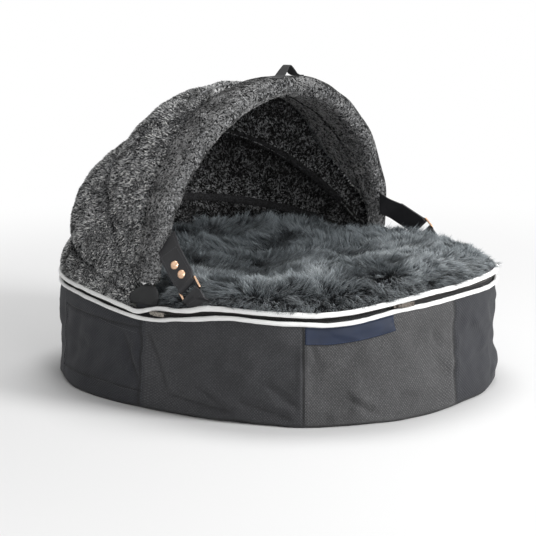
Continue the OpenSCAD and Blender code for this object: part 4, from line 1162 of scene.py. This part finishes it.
def hood_cover_point(u, v, hood, bag, inset):
    """Points of the hood from its groove at v 0 back to the rim at v 1. u runs from the left foot to the right one."""
    first = math.degrees(math.asin((FOOT_RADIUS - ARCH_LOW) / (GROOVE_ARCH[1] - ARCH_LOW))) * 1.02
    angle = np.radians(first + (180 - 2 * first) * (1 - u))
    points = np.zeros((len(u), 3))
    pieces = ((GROOVE_ARCH, MIDDLE_ARCH, hood["groove_turn"], hood["middle_turn"], hood["front_lobe"]),
              (MIDDLE_ARCH, REAR_ARCH, hood["middle_turn"], hood["rear_turn"], hood["middle_lobe"]))
    edge = np.minimum(1, 2 * np.sin(angle))
    for number, (low, high, start, end, swell) in enumerate(pieces):
        near, far = COVER_MARKS[number], COVER_MARKS[number + 1]
        here = (v >= near) & (v <= far)
        f = (v[here] - near) / (far - near)
        bow = np.sin(math.pi * f) ** 0.52
        if not number:
            # The front lobe is flatter at the crown, next to the groove
            crown = np.exp(-((angle[here] - math.pi / 2) / 0.5) ** 2)
            bow = bow * (1 - 0.4 * crown * np.exp(-(f / 0.4) ** 2)) - 0.56 * crown * np.exp(-(f / 0.25) ** 2)
        width = mixed(low[0], high[0], f) + swell * 0.5 * bow * edge[here] - inset
        rise = mixed(low[1], high[1], f) + swell * bow - inset
        points[here] = fan(arch(angle[here], width, rise, mixed(low[2], high[2], f)), mixed(start, end, f))
    here = v > COVER_MARKS[2]
    f = (v[here] - COVER_MARKS[2]) / (1 - COVER_MARKS[2])
    width, rise, power = REAR_ARCH
    seam = fan(arch(angle[here], width - inset, rise - inset, power), hood["rear_turn"])
    q = arch(angle[here], width, rise, power)
    back = PIVOT.y / MM + q[:, 1] * (bag["half_length"] - PIVOT.y / MM) / rise
    a = np.arcsin(np.clip(back / bag["half_length"], 0, 1) ** (bag["square"] / 2))
    a = np.where(angle[here] > math.pi / 2, math.pi - a, a)
    top = bag["piping_step"] + bag["upper_radius"]
    rim = at_rim(a, bag, inset - 1.5, top - 0.5)
    way = arch_out(angle[here], width, rise, power)
    swell = hood["skirt_lobe"] * np.sin(math.pi * f ** 1.3) ** 0.8 * np.minimum(1, 0.15 + np.sin(angle[here]))
    turned = hood["rear_turn"]
    points[here] = mixed(seam, rim, f[:, None]) + swell[:, None] * np.stack(
        [way[:, 0], way[:, 1] * math.sin(turned), way[:, 1] * math.cos(turned)], -1)
    return points


def hood_wrinkle(points):
    """Soft dents of the hood's cloth."""
    return 1.7 * ripples(points, 100, 61) + 0.9 * ripples(points, 40, 62)


# The band's section: how far back, in reaches to the groove and in depths of the hem, then forward and outward in radii
BAND_SECTION = (
    (1, 0, 0, -0.4), (1, 0, 0, 0.2), (0.88, 0, 0, 0.74), (0.62, 0, 0, 0.96), (0.28, 0, 0, 1.02), (0, 0, 0.35, 0.96),
    (0, 0, 0.8, 0.58), (0, 0, 0.98, 0), (0, 0, 0.84, -0.5), (0, 0, 0.42, -0.88), (0, 0.06, 0, -1), (0, 0.3, 0, -1.06),
    (0, 0.6, 0, -1), (0, 0.9, 0, -0.86), (0, 1, 0, -0.7), (0, 0.98, 0, -0.5), (0, 0.85, 0, -0.44),
)


def band_point(u, v, hood, inset):
    """Points of the front band, from its groove at v 0 over the roll to its hem inside the hood at v 1."""
    angle = np.radians(3.2 + 173.6 * (1 - u))
    table = np.array(BAND_SECTION)
    # A smooth run through the section's marks
    step = np.clip(v * (len(table) - 1), 0, len(table) - 1.0001)
    low = step.astype(int)
    f = step - low

    def along(column):
        marks = np.concatenate([[column[0] * 2 - column[1]], column, [column[-1] * 2 - column[-2]]])
        p0, p1, p2, p3 = (marks[low + i] for i in range(4))
        return 0.5 * (2 * p1 + (p2 - p0) * f + (2 * p0 - 5 * p1 + 4 * p2 - p3) * f ** 2
                      + (3 * p1 - p0 - 3 * p2 + p3) * f ** 3)

    back, deep, forward, outward = (along(table[:, i]) for i in range(4))
    width, rise, power = FRONT_ARCH
    q = arch(angle, width, rise, power)
    roll = hood["roll"] - inset
    reach = q[:, 1] * math.tan(hood["groove_turn"] + hood["front_lean"])
    hem = 8 + (hood["hem"] - 8) * smooth((np.sin(angle) - 0.12) / 0.5)
    way = arch_out(angle, width, rise, power)
    crown = np.exp(-((angle - math.pi / 2) / 0.5) ** 2)
    inside = smooth((v - 0.58) / 0.3)
    # The hem hangs in soft folds at the crown
    sag = crown * inside * (6 + 6 * np.sin(angle * 9 + 1.2) * np.sin(angle * 4))
    rolled = roll * outward + 1.2 * ripples(np.stack([q[:, 0], q[:, 1], 30 * v], -1), 60, 63)
    # The groove dips at the crown, and the roll is fuller where the straps' ends are sewn in
    rolled = rolled - 10 * crown * smooth(back) * (v < 0.4) - 2.6 * smooth((np.cos(angle) - 0.15) / 0.4)
    strap_end = np.exp(-((np.sin(angle) - 0.3) / 0.09) ** 2)
    forward = forward * (1 + 0.28 * strap_end)
    q = q + way * (rolled - sag)[:, None]
    return fan(q, -hood["front_lean"], reach * back + hem * deep - roll * forward)


def turned_back(points):
    """Turns of points about the pivots, back from upright, in degrees."""
    pivot = PIVOT / MM
    return np.degrees(np.arctan2(points[:, 1] - pivot.y, points[:, 2] - pivot.z))


def off_front(points, hood):
    """How far points stand behind the plane of the front bow, and how high they lie along it."""
    lean = -hood["front_lean"]
    _, y, z = (points - np.array(PIVOT) / MM).T
    return y * math.cos(lean) - z * math.sin(lean), z * math.cos(lean) + y * math.sin(lean)


def folds_with_hood(piece):
    """Bake a piece of the hood's cloth into place and read its points, which nothing then uses."""
    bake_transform(piece)
    place = np.empty(len(piece.data.vertices) * 3, np.float32)
    piece.data.vertices.foreach_get("co", place)


class HOODEDBED_OT_hood(bpy.types.Operator):
    """Make the hood's fleece cover and its front band"""
    bl_idname = "hooded_bed.hood"
    bl_label = "Fleece hood"

    def execute(self, context):
        bag, hood = in_mm("bag"), in_mm("hood")
        colours = settings("tint")
        backing = backing_material("fleece_knit_backing", tuple(colours.fleece_dark), tuple(colours.fleece_mid), 2.4)

        def cover(u, v):
            points = hood_cover_point(u, v, hood, bag, 5.5)
            middle = np.array([0.0, 60.0, 150.0])
            seams = np.min([np.abs(v - mark) for mark in COVER_MARKS], 0)
            return points + unit(points - middle) * (hood_wrinkle(points) * smooth(seams / 0.08))[:, None]

        mesh = formed_grid("hood_cover", cover, 260, 110)
        piece = add_piece("hood_cover", mesh, None, ("hood_panel_front", "hood_panel_rear", "hood_skirt"), backing)
        folds_with_hood(piece)
        add_modifier(piece, "SOLIDIFY", thickness=hood["cloth"] * 0.7 * MM, offset=-1.0)

        mesh = formed_grid("hood_band", lambda u, v: band_point(u, v, hood, 3.0), 220, 60)
        piece = add_piece("hood_band", mesh, None, ("hood_front_band",), backing)
        folds_with_hood(piece)
        return {"FINISHED"}


# Where the outer fleece is split into two pieces, behind the bed's middle
FLEECE_SPLIT = 150


class HOODEDBED_OT_fleece(bpy.types.Operator):
    """Cover the hood with the tufts of its fleece, outside and inside"""
    bl_idname = "hooded_bed.fleece"
    bl_label = "Fleece tufts"

    def execute(self, context):
        hood = in_mm("hood")
        random = np.random.default_rng(17)
        cover, band = bpy.data.objects.get("hood_cover"), bpy.data.objects.get("hood_band")
        if not cover or not band:
            raise RuntimeError("the fleece needs the hood's cover and band")
        outer = fleece_material("fleece_yarn_outside", 0.86)
        # The inside is a copy of the fleece painted near black, a painted shade of the hood's hollow
        inner = fleece_material("fleece_yarn_inside", 0.022)
        # The band's copy is partly a paler yarn and partly painted light, which brightens its hem inside the hood
        band_paler_and_lit = fleece_material("fleece_yarn_band", 2.5)
        shape, faces = small_shape(short_blade)
        amount = hood["tufts"]

        def tufts(name, mesh, count, material, seed, keep=None, inward=0.0, tall=1.0, wide=1.0, mixing=0.3,
                  middle=0.53):
            root, up = scatter(mesh, count, seed)
            if keep is not None:
                chosen = keep(root)
                root, up = root[chosen], up[chosen]
            if inward:
                root, up = root - up * inward, -up
            count = len(root)
            # The fleece is pressed flat and is in shadow along the seams over the bows
            grooves = zip(SEAM_ANGLES, (1.5, 1.7, 1.7))
            valley = np.max([np.exp(-((turned_back(root) - seam) / reach) ** 2) for seam, reach in grooves], 0)
            valley = valley * (0 if inward else 0.8)
            down = up * up[:, 2:3] - (0.0, 0.0, 1.0)
            spin = ripples(root, 40, seed + 1) * 1.4
            side = np.cross(up, down)
            lean = unit(down) * np.cos(spin)[:, None] + unit(side) * np.sin(spin)[:, None]
            lean = unit(lean + random.normal(size=lean.shape) * 0.75) * 0.75
            lean -= up * (lean * up).sum(1, keepdims=True)
            high = hood["tuft"] * tall * random.uniform(0.7, 1.15, count) * (1 - 0.55 * valley)
            tone = np.clip(middle + 0.15 * ripples(root, 5 * wide, seed + 2, 14) + mixing * random.normal(size=count)
                           + 0.05 * ripples(root, 60, seed + 3), 0, 1) * (1 - 0.85 * valley)
            points = grown(root - up * 1.0, up, lean, high, random.uniform(1.3, 2.1, count) * wide, shape,
                           random.uniform(-0.9, 0.9, count), 0.5, 0.35)
            made = repeated(name, points, faces, fibre_height=shape[:, 1][None], fibre_tone=tone[:, None])
            folds_with_hood(add_piece(name, made, None, (), material))

        tufts("hood_fleece_front", cover.data, amount, outer, 71, lambda p: p[:, 1] < FLEECE_SPLIT)
        tufts("hood_fleece_rear", cover.data, amount, outer, 75, lambda p: p[:, 1] >= FLEECE_SPLIT)
        tufts("hood_fleece_inside", cover.data, amount * 2 // 5, inner, 79, inward=hood["cloth"] * 0.7, wide=1.4)

        def off_hem_edge(p):
            # The hem's free edge is bound, and carries no tufts
            deep, high = off_front(p, hood)
            return deep < 0.9 * (8 + (hood["hem"] - 8) * smooth((high / FRONT_ARCH[1] - 0.12) / 0.5))

        tufts("hood_band_fleece", band.data, amount * 3 // 5, band_paler_and_lit, 83, off_hem_edge, tall=1.35, wide=2.0, mixing=0.8,
              middle=0.68)
        return {"FINISHED"}


# Straps, patches and the loop

# How far in front of the bed's middle the straps stand
STRAP_FRONT = 73.0
# How deep a strap's end is tucked into the hood's roll, and how much lower its free edge is cut
STRAP_TUCK = 9
STRAP_CUT = 9
# Height over a ring's lower bar at which its strap is free to twist and sag, and the far strap's sag at its end
STRAP_FREE = 17
STRAP_SAG = (6.0, 0.0, 27.0)


def strap_turn(bag):
    """The turn of the outline at which the right strap stands."""
    return -math.asin((STRAP_FRONT / bag["half_length"]) ** (bag["square"] / 2))


def strap_frame(bag, strap):
    """The place of a strap's lower ring bar on the right side, and its three directions."""
    top = bag["piping_step"] + bag["upper_radius"]
    place = mean_rim(np.array([strap_turn(bag)]), bag, np.array([7.0]), top + 19.5)[0]
    tilt, lean = -strap["tilt"], -strap["lean"]
    turn_x = np.array([[1, 0, 0], [0, math.cos(tilt), -math.sin(tilt)], [0, math.sin(tilt), math.cos(tilt)]])
    turn_y = np.array([[math.cos(lean), 0, math.sin(lean)], [0, 1, 0], [-math.sin(lean), 0, math.cos(lean)]])
    return place, turn_x @ turn_y


def on_strap(local, side, bag, strap):
    """Points in the strap's own directions brought to the bed, with the strap's twist and sag."""
    place, turned = strap_frame(bag, strap)
    x, across, z = local.T
    # Over its ring the near strap is turned to the front, and the far one leans lower to its end
    twist = strap["twist"] * smooth((z - STRAP_FREE) / 14) * (side < 0)
    local = np.stack([x * np.cos(twist) + across * np.sin(twist), across * np.cos(twist) - x * np.sin(twist), z], -1)
    points = place + local @ turned.T
    sag = np.maximum(z - STRAP_FREE, 0) / 80 * (side > 0)
    return points - sag[:, None] * STRAP_SAG


def strap_strip(name, side, bag, strap, rows):
    """A strap's mesh: leather that hugs a bar and runs on from it, seen from the side as rows of (x, z)."""
    half = strap["leather"] / 2
    place, turned = strap_frame(bag, strap)

    def lay(u, v):
        across = (u - 0.5) * strap["width"]
        x, z = rows(v, across, place, turned)
        points = on_strap(np.stack([x, across, z], -1), side, bag, strap)
        # Below the ring the leather is pressed in behind the piping
        share = (np.abs(points[:, 1]) / bag["half_length"]) ** bag["square"]
        rim = bag["half_width"] * (1 - share) ** (1 / bag["square"])
        below = smooth((place[2] - points[:, 2]) / 6)
        behind = np.minimum(points[:, 0], rim - 6.9 - (half - x))
        points[:, 0] = points[:, 0] * (1 - below) + behind * below
        points[:, 0] *= side
        return points
    return formed_grid(name, lay, 8, 90, flip=side < 0), lay


def run_along(v, marks):
    """Interpolates a run of (share, x, z) marks."""
    table = np.array(marks)
    return np.interp(v, table[:, 0], table[:, 1]), np.interp(v, table[:, 0], table[:, 2])


class HOODEDBED_OT_straps(bpy.types.Operator):
    """Make the leather straps, which join the rings to the hood and to the rim"""
    bl_idname = "hooded_bed.straps"
    bl_label = "Leather straps"

    def execute(self, context):
        bag, hood, strap = in_mm("bag"), in_mm("hood"), in_mm("strap")
        leather = leather_material()
        thread = thread_material("waxed_strap_thread", "#3b3c3f", "#2c2d30", "#55565a", 0.5)
        # The ring's height over its lower bar, and the reach of the leather round a bar
        ring = 15.0
        eye = 2.5 + strap["leather"] / 2
        half = strap["leather"] / 2 + 0.02
        round_turn = np.linspace(0, 1, 15)

        def face_reach(across, place, turned, x):
            # Where the strap meets the front of the hood's roll
            start = place + np.stack([x, across, 0 * across], -1) @ turned.T
            stand, _ = off_front(start, hood)
            gain = off_front(start + turned[:, 2], hood)[0] - stand
            # The left end is cut lower on its free edge
            return (-(hood["roll"] - 1.0) - stand) / gain - cut * (1 - across / (strap["width"] / 2))

        def front_rows(v, across, place, turned):
            last = face_reach(across, place, turned, -half + 0 * across)
            marks = [(0.0, half, ring + strap["doubled"]), (0.42, half, ring + eye * 1.4)]
            for share in round_turn:
                spin = math.radians(40 - 260 * share)
                marks.append((0.43 + 0.12 * share, eye * math.cos(spin), ring + eye * math.sin(spin)))
            marks.append((0.56, -half, ring + eye * 1.4))
            x, z = run_along(v, marks + [(1.0, -half, ring + eye * 1.4)])
            above = v > 0.56
            z[above] = mixed(ring + eye * 1.4, last[above] + 5, (v[above] - 0.56) / 0.44)
            # The end is tucked into the hood's roll
            x[above] -= STRAP_TUCK * smooth((z[above] - ring - strap["doubled"] * 0.85) / 34)
            return x, z

        def anchor_rows(v, across, place, turned):
            # The foot is cut along the piping
            foot = rim_height(np.array([strap_turn(bag)]), bag)[0]
            level = foot + bag["piping_step"] + bag["upper_radius"] - 2.5
            way = turned @ np.array([0.0, 0.0, 1.0])
            beside = turned @ np.array([0.0, 1.0, 0.0])
            low = (level - place[2] - across * beside[2]) / way[2]
            low = np.minimum(low, -eye * 1.5)
            marks = [(0.0, half, 0.0), (0.4, half, -eye * 1.4)]
            for share in round_turn:
                spin = math.radians(-40 + 260 * share)
                marks.append((0.42 + 0.16 * share, eye * math.cos(spin), eye * math.sin(spin)))
            marks.append((0.6, -half, -eye * 1.4))
            x, z = run_along(v, marks + [(1.0, -half, -eye * 1.4)])
            outer, inner = v < 0.4, v > 0.6
            z[outer] = mixed(low[outer], -eye * 1.4, v[outer] / 0.4)
            z[inner] = mixed(-eye * 1.4, low[inner], (v[inner] - 0.6) / 0.4)
            return x, z

        for side, word in ((-1, "left"), (1, "right")):
            lines = []
            cut = STRAP_CUT if side < 0 else 0
            for kind, rows in (("front_strap", front_rows), ("anchor_strap", anchor_rows)):
                name = f"{kind}_leather_{word}"
                mesh, lay = strap_strip(name, side, bag, strap, rows)
                piece = add_piece(name, mesh, "base", (f"{kind}_{word}",), leather, shade=False)
                add_modifier(piece, "SOLIDIFY", thickness=strap["leather"] * MM, offset=0.0, use_even_offset=True)
                add_modifier(piece, "BEVEL", width=0.35 * MM, segments=2, limit_method="ANGLE",
                             angle_limit=math.radians(50))
                out = np.array([side * 1.0, 0.0, 0.1])
                # Seams: from and to across the strap, from and to along it, and how many points
                seams = [(0.1, 0.9, 0.33, 0.33, 30)]
                if kind == "front_strap":
                    seams = [(edge, edge, low, high, count) for edge in (0.1, 0.9)
                             for low, high, count in ((0.01, 0.4, 50), (0.78, 0.99, 40))]
                    seams += [(0.1, 0.9, level, level, 30) for level in (0.01, 0.34)]
                for u0, u1, v0, v1, count in seams:
                    points = lay(np.linspace(u0, u1, count), np.linspace(v0, v1, count)) + out * (strap["leather"] / 2)
                    lines.append((points, np.tile(out, (count, 1))))
            stitched(f"strap_stitches_{word}", lines, thread, "base", 2.4, 0.5, 3.4)

        # The two domed studs of each front strap, which sit on its leather as it lies
        rose = metal_material("rose_plated_studs", tuple(settings("tint").rose_metal), 0.28)
        radius, rise = strap["stud"] / 2, strap["stud"] / 4
        globe = (radius ** 2 + rise ** 2) / (2 * rise)
        for side, word in ((-1, "left"), (1, "right")):
            def domes(u, v, side=side):
                upper = v > 0.5
                share = np.where(upper, 1 - v, v) * 2
                r = radius * np.minimum(share * 1.25, 1)
                high = np.where(share > 0.8, -1.0 * (share - 0.8) / 0.2, np.sqrt(globe ** 2 - r ** 2) - (globe - rise))
                spin = 2 * math.pi * u * np.where(upper, -1, 1)
                local = np.stack([half * 2 + high, np.where(upper, 2.0, -0.6) + r * np.cos(spin),
                                  np.where(upper, 49.5, 32.5) + r * np.sin(spin)], -1)
                points = on_strap(local, side, bag, strap)
                points[:, 0] *= side
                return points

            mesh = formed_grid("strap_stud_domes_" + word, domes, 32, 25, merge=0.01, flip=side > 0)
            add_piece(mesh.name, mesh, "base", ("strap_studs_" + word,), rose)
        return {"FINISHED"}


# The loop stands in a peak: feet, straight sides and a folded crown, as places across and up
LOOP_MARKS = ((-30, 1.2), (-22, 2.0), (-16, 4.5), (-4, 15.5), (-1.2, 17.6), (1.6, 17.8), (4.2, 15.6), (13, 5.0),
              (20, 1.8), (29, 0.8))


class HOODEDBED_OT_loop(bpy.types.Operator):
    """Make the webbing loop on the crown of the hood"""
    bl_idname = "hooded_bed.loop"
    bl_label = "Carry loop"

    def execute(self, context):
        hood = in_mm("hood")
        low, high = (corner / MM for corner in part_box("carry_loop"))
        middle_y, wide = (low.y + high.y) / 2, hood["loop_width"]
        marks = np.array(LOOP_MARKS)
        run = np.concatenate([[0], np.cumsum(np.linalg.norm(np.diff(marks, axis=0), axis=1))])
        run /= run[-1]

        def place(u, v):
            x = np.interp(u, run, marks[:, 0])
            z = np.interp(u, run, marks[:, 1])
            across = (v - 0.5) * wide
            narrow = 1 - 0.25 * np.exp(-((u - 0.5) / 0.16) ** 2)
            tilt = math.radians(3)
            return np.stack([x, middle_y + across * narrow, low.z + 1.0 + z - across * narrow * math.tan(tilt)], -1)

        black = webbing_material("polyester_webbing_ribbed", "#141416", "#2e2f31", 84 / 1.4, 18 / 2.2)
        mesh = formed_grid("carry_loop_webbing", place, 60, 8)
        piece = add_piece("carry_loop_webbing", mesh, "front_bow", ("carry_loop",), black)
        add_modifier(piece, "SOLIDIFY", thickness=1.6 * MM, offset=0.0)
        add_modifier(piece, "SUBSURF", levels=1, render_levels=1)
        return {"FINISHED"}


# The sleeves: name, arch of the bow inside, turn back from upright in degrees, and the body that carries it
SLEEVES = (
    ("middle_bow_sleeve", (261.105, 269.8, 2.05), 45.0, "middle_bow"),
    ("rear_bow_sleeve", (265.605, 276.8, 2.25), 76.0, "rear_bow"),
)


class HOODEDBED_OT_patches(bpy.types.Operator):
    """Make the black cloth patches over the hood's feet, and the casings round the bows"""
    bl_idname = "hooded_bed.patches"
    bl_label = "Foot patches and casings"

    def execute(self, context):
        cloth = webbing_material("patch_cloth_twill", "#111213", "#202123", 58 / 1.6, 30 / 1.6)
        for side, word in ((-1, "left"), (1, "right")):
            low, high = (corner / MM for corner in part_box("foot_patch_" + word))
            outer = low.x if side < 0 else high.x
            middle = (low.y + high.y) / 2
            reach = (high.y - low.y) / 2

            def place(u, v, side=side, outer=outer, low=low, middle=middle, reach=reach):
                spin = math.pi * u
                r = reach * 0.95 * v
                # The cloth domes a little, dips at its edge and has soft creases
                dome = 2.0 * (1 - v ** 2) - 2.0 * smooth((v - 0.8) / 0.2) + 0.7 * np.sin(5 * u + 3 * v)
                high = 0.95 * r * np.abs(np.sin(spin)) ** 0.8 * (1 + 0.3 * np.cos(spin))
                return np.stack([outer + side * (dome - 3.2), middle + 5 - 0.3 * high - r * spow(np.cos(spin), 0.85),
                                 low.z - 4.0 + high - 3.5 * np.abs(np.cos(spin)) * v], -1)

            mesh = formed_grid("foot_patch_cloth_" + word, place, 40, 14, merge=0.02, flip=side > 0)
            piece = add_piece("foot_patch_cloth_" + word, mesh, "base", ("foot_patch_" + word,), cloth)
            add_modifier(piece, "SOLIDIFY", thickness=1.3 * MM, offset=-1.0)

        # The casings are painted near black like the hood's inside, a painted shade of its hollow
        casing = backing_material("bow_casing_knit", linear("#09090a"), linear("#39393b"), 2.2)
        for name, (width, rise, power), back, body in SLEEVES:
            def sleeve(u, v, width=width, rise=rise, power=power, back=back):
                angle = np.radians(15 + 150 * (1 - u))
                spin = -2 * math.pi * v
                # A flat tube, 5.8 mm thick and 12 mm wide, with small folds along it
                out = 2.9 * spow(np.cos(spin), 0.6) + 0.3 * np.sin(u * 160)
                beside = 6.0 * spow(np.sin(spin), 0.6)
                q = arch(angle, width, rise, power) + arch_out(angle, width, rise, power) * out[:, None]
                return fan(q, math.radians(back), beside)

            mesh = formed_grid(name + "_casing", sleeve, 160, 14, merge=0.02)
            add_piece(name + "_casing", mesh, body, (name,), casing)
        return {"FINISHED"}


class HOODEDBED_OT_finishes(bpy.types.Operator):
    """Give every carried-over node its own material"""
    bl_idname = "hooded_bed.finishes"
    bl_label = "Finishes of the frame"

    def execute(self, context):
        rose = metal_material("rose_plated_brass", tuple(settings("tint").rose_metal), 0.22)
        nickel = metal_material("cast_zinc_nickel", linear("#8b867f"), 0.36, 420.0, 0.2, 0.3)
        gunmetal = metal_material("cast_zinc_gunmetal", linear("#6f6862"), 0.4, 420.0, 0.2, 0.35)
        steel = metal_material("phosphated_steel", linear("#3a3b3e"), 0.45, 240.0)
        strip = grained_material("pultruded_glass_strip", "#222221", "#35342f", 0.4, 1.2, 0.15)
        moulded = grained_material("moulded_nylon_black", "#17181a", "#232427", 0.45, 0.6, 0.1)
        washer = grained_material("moulded_acetal_white", "#d9d9d4", "#ecece7", 0.35, 0.8, 0.08)
        liner = grained_material("spunbond_liner_cloth", "#c9c9c4", "#e4e4df", 0.8, 1.6, 0.3)
        beads = grained_material("expanded_foam_beads", "#dcdcd6", "#f6f6f1", 0.7, 4.0, 1.5, cells=True)
        wadding = grained_material("polyester_wadding", "#d3d3ce", "#ededea", 0.95, 9.0, 2.5)
        chosen = {
            "strap_studs": rose, "strap_ring": rose, "zip_slider": nickel, "zip_pull": nickel,
            "zip_slider_front": gunmetal, "zip_pull_front": gunmetal, "pivot_bracket": steel,
            "pivot_washers": washer, "front_bow_eyes": moulded, "middle_bow_eyes": moulded, "rear_bow_eyes": moulded,
            "front_bow": strip, "middle_bow": strip, "rear_bow": strip, "liner_bag": liner, "bean_filling": beads,
            "wadding_pad": wadding,
        }
        for name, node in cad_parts.items():
            if node.hide_render:
                continue
            keys = [k for k in chosen if name.startswith(k)]
            node.data.materials.clear()
            node.data.materials.append(chosen[max(keys, key=len)])
        return {"FINISHED"}


# The floor's width and how far it lies under the bed, in millimetres
FLOOR_WIDTH = 24000
FLOOR_DROP = 0.4
# The camera's place and the way it looks, in metres, and its lens in millimetres
CAMERA_PLACE = (-2.492222, -2.013537, 0.840638)
CAMERA_WAY = (0.757994, 0.617545, -0.209960)
CAMERA_LENS = 149.67
# A large soft key from the front, a top light, and a low fill beside the camera that reaches into the hood: name,
# place in metres, power in watts and size in metres
LAMPS = (
    ("key_lamp", (0.6, -2.8, 1.5), 86.0, 1.1),
    ("top_lamp", (0.6, 0.25, 2.6), 35.0, 1.3),
    ("fill_lamp", (-1.7, -2.7, 0.7), 23.0, 0.9),
)


class HOODEDBED_OT_stage(bpy.types.Operator):
    """Set the plain floor, the soft lamps and the camera"""
    bl_idname = "hooded_bed.stage"
    bl_label = "Stage"

    def execute(self, context):
        scene = context.scene
        scene.view_settings.view_transform = "Standard"

        # Matt white paper, which keeps the bed's shadow and is plain white to the camera elsewhere
        material, tree, shader = new_material("matt_white_paper", linear("#dfdfdf"), 0.9, **{"Specular IOR Level": 0.1})
        mesh = formed_grid("floor", lambda u, v: np.stack(
            [(u - 0.5) * FLOOR_WIDTH, (v - 0.5) * FLOOR_WIDTH, 0 * u - FLOOR_DROP], -1), 4, 4)
        floor = bpy.data.objects.new("floor", mesh)
        scene.collection.objects.link(floor)
        mesh.materials.append(material)
        bumped(tree, shader, texture(tree, "Noise", 300.0).outputs["Fac"], 0.05, 0.3)
        coords = add_node(tree, "ShaderNodeTexCoord")
        path = add_node(tree, "ShaderNodeLightPath")
        far = add_node(tree, "ShaderNodeVectorMath", {0: coords.outputs["Object"]}, operation="LENGTH")
        fade = add_node(tree, "ShaderNodeMapRange", {"Value": far.outputs["Value"], "From Min": 0.5, "From Max": 1.45,
                                                     "To Min": 0.0, "To Max": 1.0}, interpolation_type="SMOOTHSTEP")
        seen = reckon(tree, "MULTIPLY", path.outputs["Is Camera Ray"], fade.outputs["Result"])
        glow = add_node(tree, "ShaderNodeEmission", {"Color": (1, 1, 1, 1), "Strength": 1.0})
        both = add_node(tree, "ShaderNodeMixShader", {0: seen, 1: shader.outputs["BSDF"], 2: glow.outputs["Emission"]})
        output = next(n for n in tree.nodes if n.bl_idname == "ShaderNodeOutputMaterial")
        tree.links.new(both.outputs[0], output.inputs["Surface"])

        world = bpy.data.worlds.new("studio_air")
        scene.world = world
        world.use_nodes = True
        air = world.node_tree
        air.nodes.clear()
        path = add_node(air, "ShaderNodeLightPath")
        seen = reckon(air, "MAXIMUM", path.outputs["Is Camera Ray"], path.outputs["Is Glossy Ray"])
        seen = reckon(air, "MAXIMUM", seen, path.outputs["Is Transmission Ray"])
        plain = add_node(air, "ShaderNodeBackground", {"Color": (1, 1, 1, 1), "Strength": 0.42})
        white = add_node(air, "ShaderNodeBackground", {"Color": (1, 1, 1, 1), "Strength": 1.0})
        chosen = add_node(air, "ShaderNodeMixShader", {0: seen, 1: plain.outputs[0], 2: white.outputs[0]})
        add_node(air, "ShaderNodeOutputWorld", {"Surface": chosen.outputs[0]})

        for name, place, power, size in LAMPS:
            lamp = bpy.data.lights.new(name, "AREA")
            lamp.energy = power
            lamp.shape = "DISK"
            lamp.size = size
            holder = bpy.data.objects.new(name, lamp)
            scene.collection.objects.link(holder)
            holder.location = place
            holder.rotation_euler = (Vector((0, 0, 0.15)) - Vector(place)).to_track_quat("-Z", "Y").to_euler()

        camera = bpy.data.objects.new("camera", bpy.data.cameras.new("camera"))
        scene.collection.objects.link(camera)
        camera.location = CAMERA_PLACE
        camera.rotation_euler = Vector(CAMERA_WAY).to_track_quat("-Z", "Y").to_euler()
        camera.data.sensor_width = 36.0
        camera.data.lens = CAMERA_LENS
        camera.data.clip_start, camera.data.clip_end = 0.05, 50.0
        scene.camera = camera
        return {"FINISHED"}


class HOODEDBED_PT_sidebar(bpy.types.Panel):
    """The bed's pieces and their sizes, in the 3D view's sidebar"""
    bl_idname = "HOODEDBED_PT_sidebar"
    bl_label = "Hooded bed"
    bl_space_type = "VIEW_3D"
    bl_region_type = "UI"
    bl_category = "Hooded bed"

    def draw(self, context):
        for group in SIZE_GROUPS:
            box = self.layout.box()
            values = settings(group)
            for prop in values.bl_rna.properties:
                if prop.identifier not in ("rna_type", "name"):
                    box.prop(values, prop.identifier)
        for operator in OPERATORS:
            self.layout.operator(operator.bl_idname)


OPERATORS = (
    HOODEDBED_OT_stage, HOODEDBED_OT_bag, HOODEDBED_OT_pipings, HOODEDBED_OT_zip, HOODEDBED_OT_label,
    HOODEDBED_OT_pile, HOODEDBED_OT_hood, HOODEDBED_OT_fleece, HOODEDBED_OT_straps, HOODEDBED_OT_loop,
    HOODEDBED_OT_patches, HOODEDBED_OT_finishes,
)
CLASSES = (*SIZE_GROUPS.values(), *OPERATORS, HOODEDBED_PT_sidebar)


def register():
    """Register the groups of sizes, the operators and the panel."""
    for cls in CLASSES:
        bpy.utils.register_class(cls)
    for group, cls in SIZE_GROUPS.items():
        setattr(bpy.types.Scene, "hooded_bed_" + group, bpy.props.PointerProperty(type=cls))


def unregister():
    """Take them away again."""
    for group in SIZE_GROUPS:
        delattr(bpy.types.Scene, "hooded_bed_" + group)
    for cls in reversed(CLASSES):
        bpy.utils.unregister_class(cls)


def main():
    """Build every piece in order."""
    register()
    for operator in OPERATORS:
        group, name = operator.bl_idname.split(".")
        getattr(getattr(bpy.ops, group), name)()


if __name__ == "__main__":
    main()
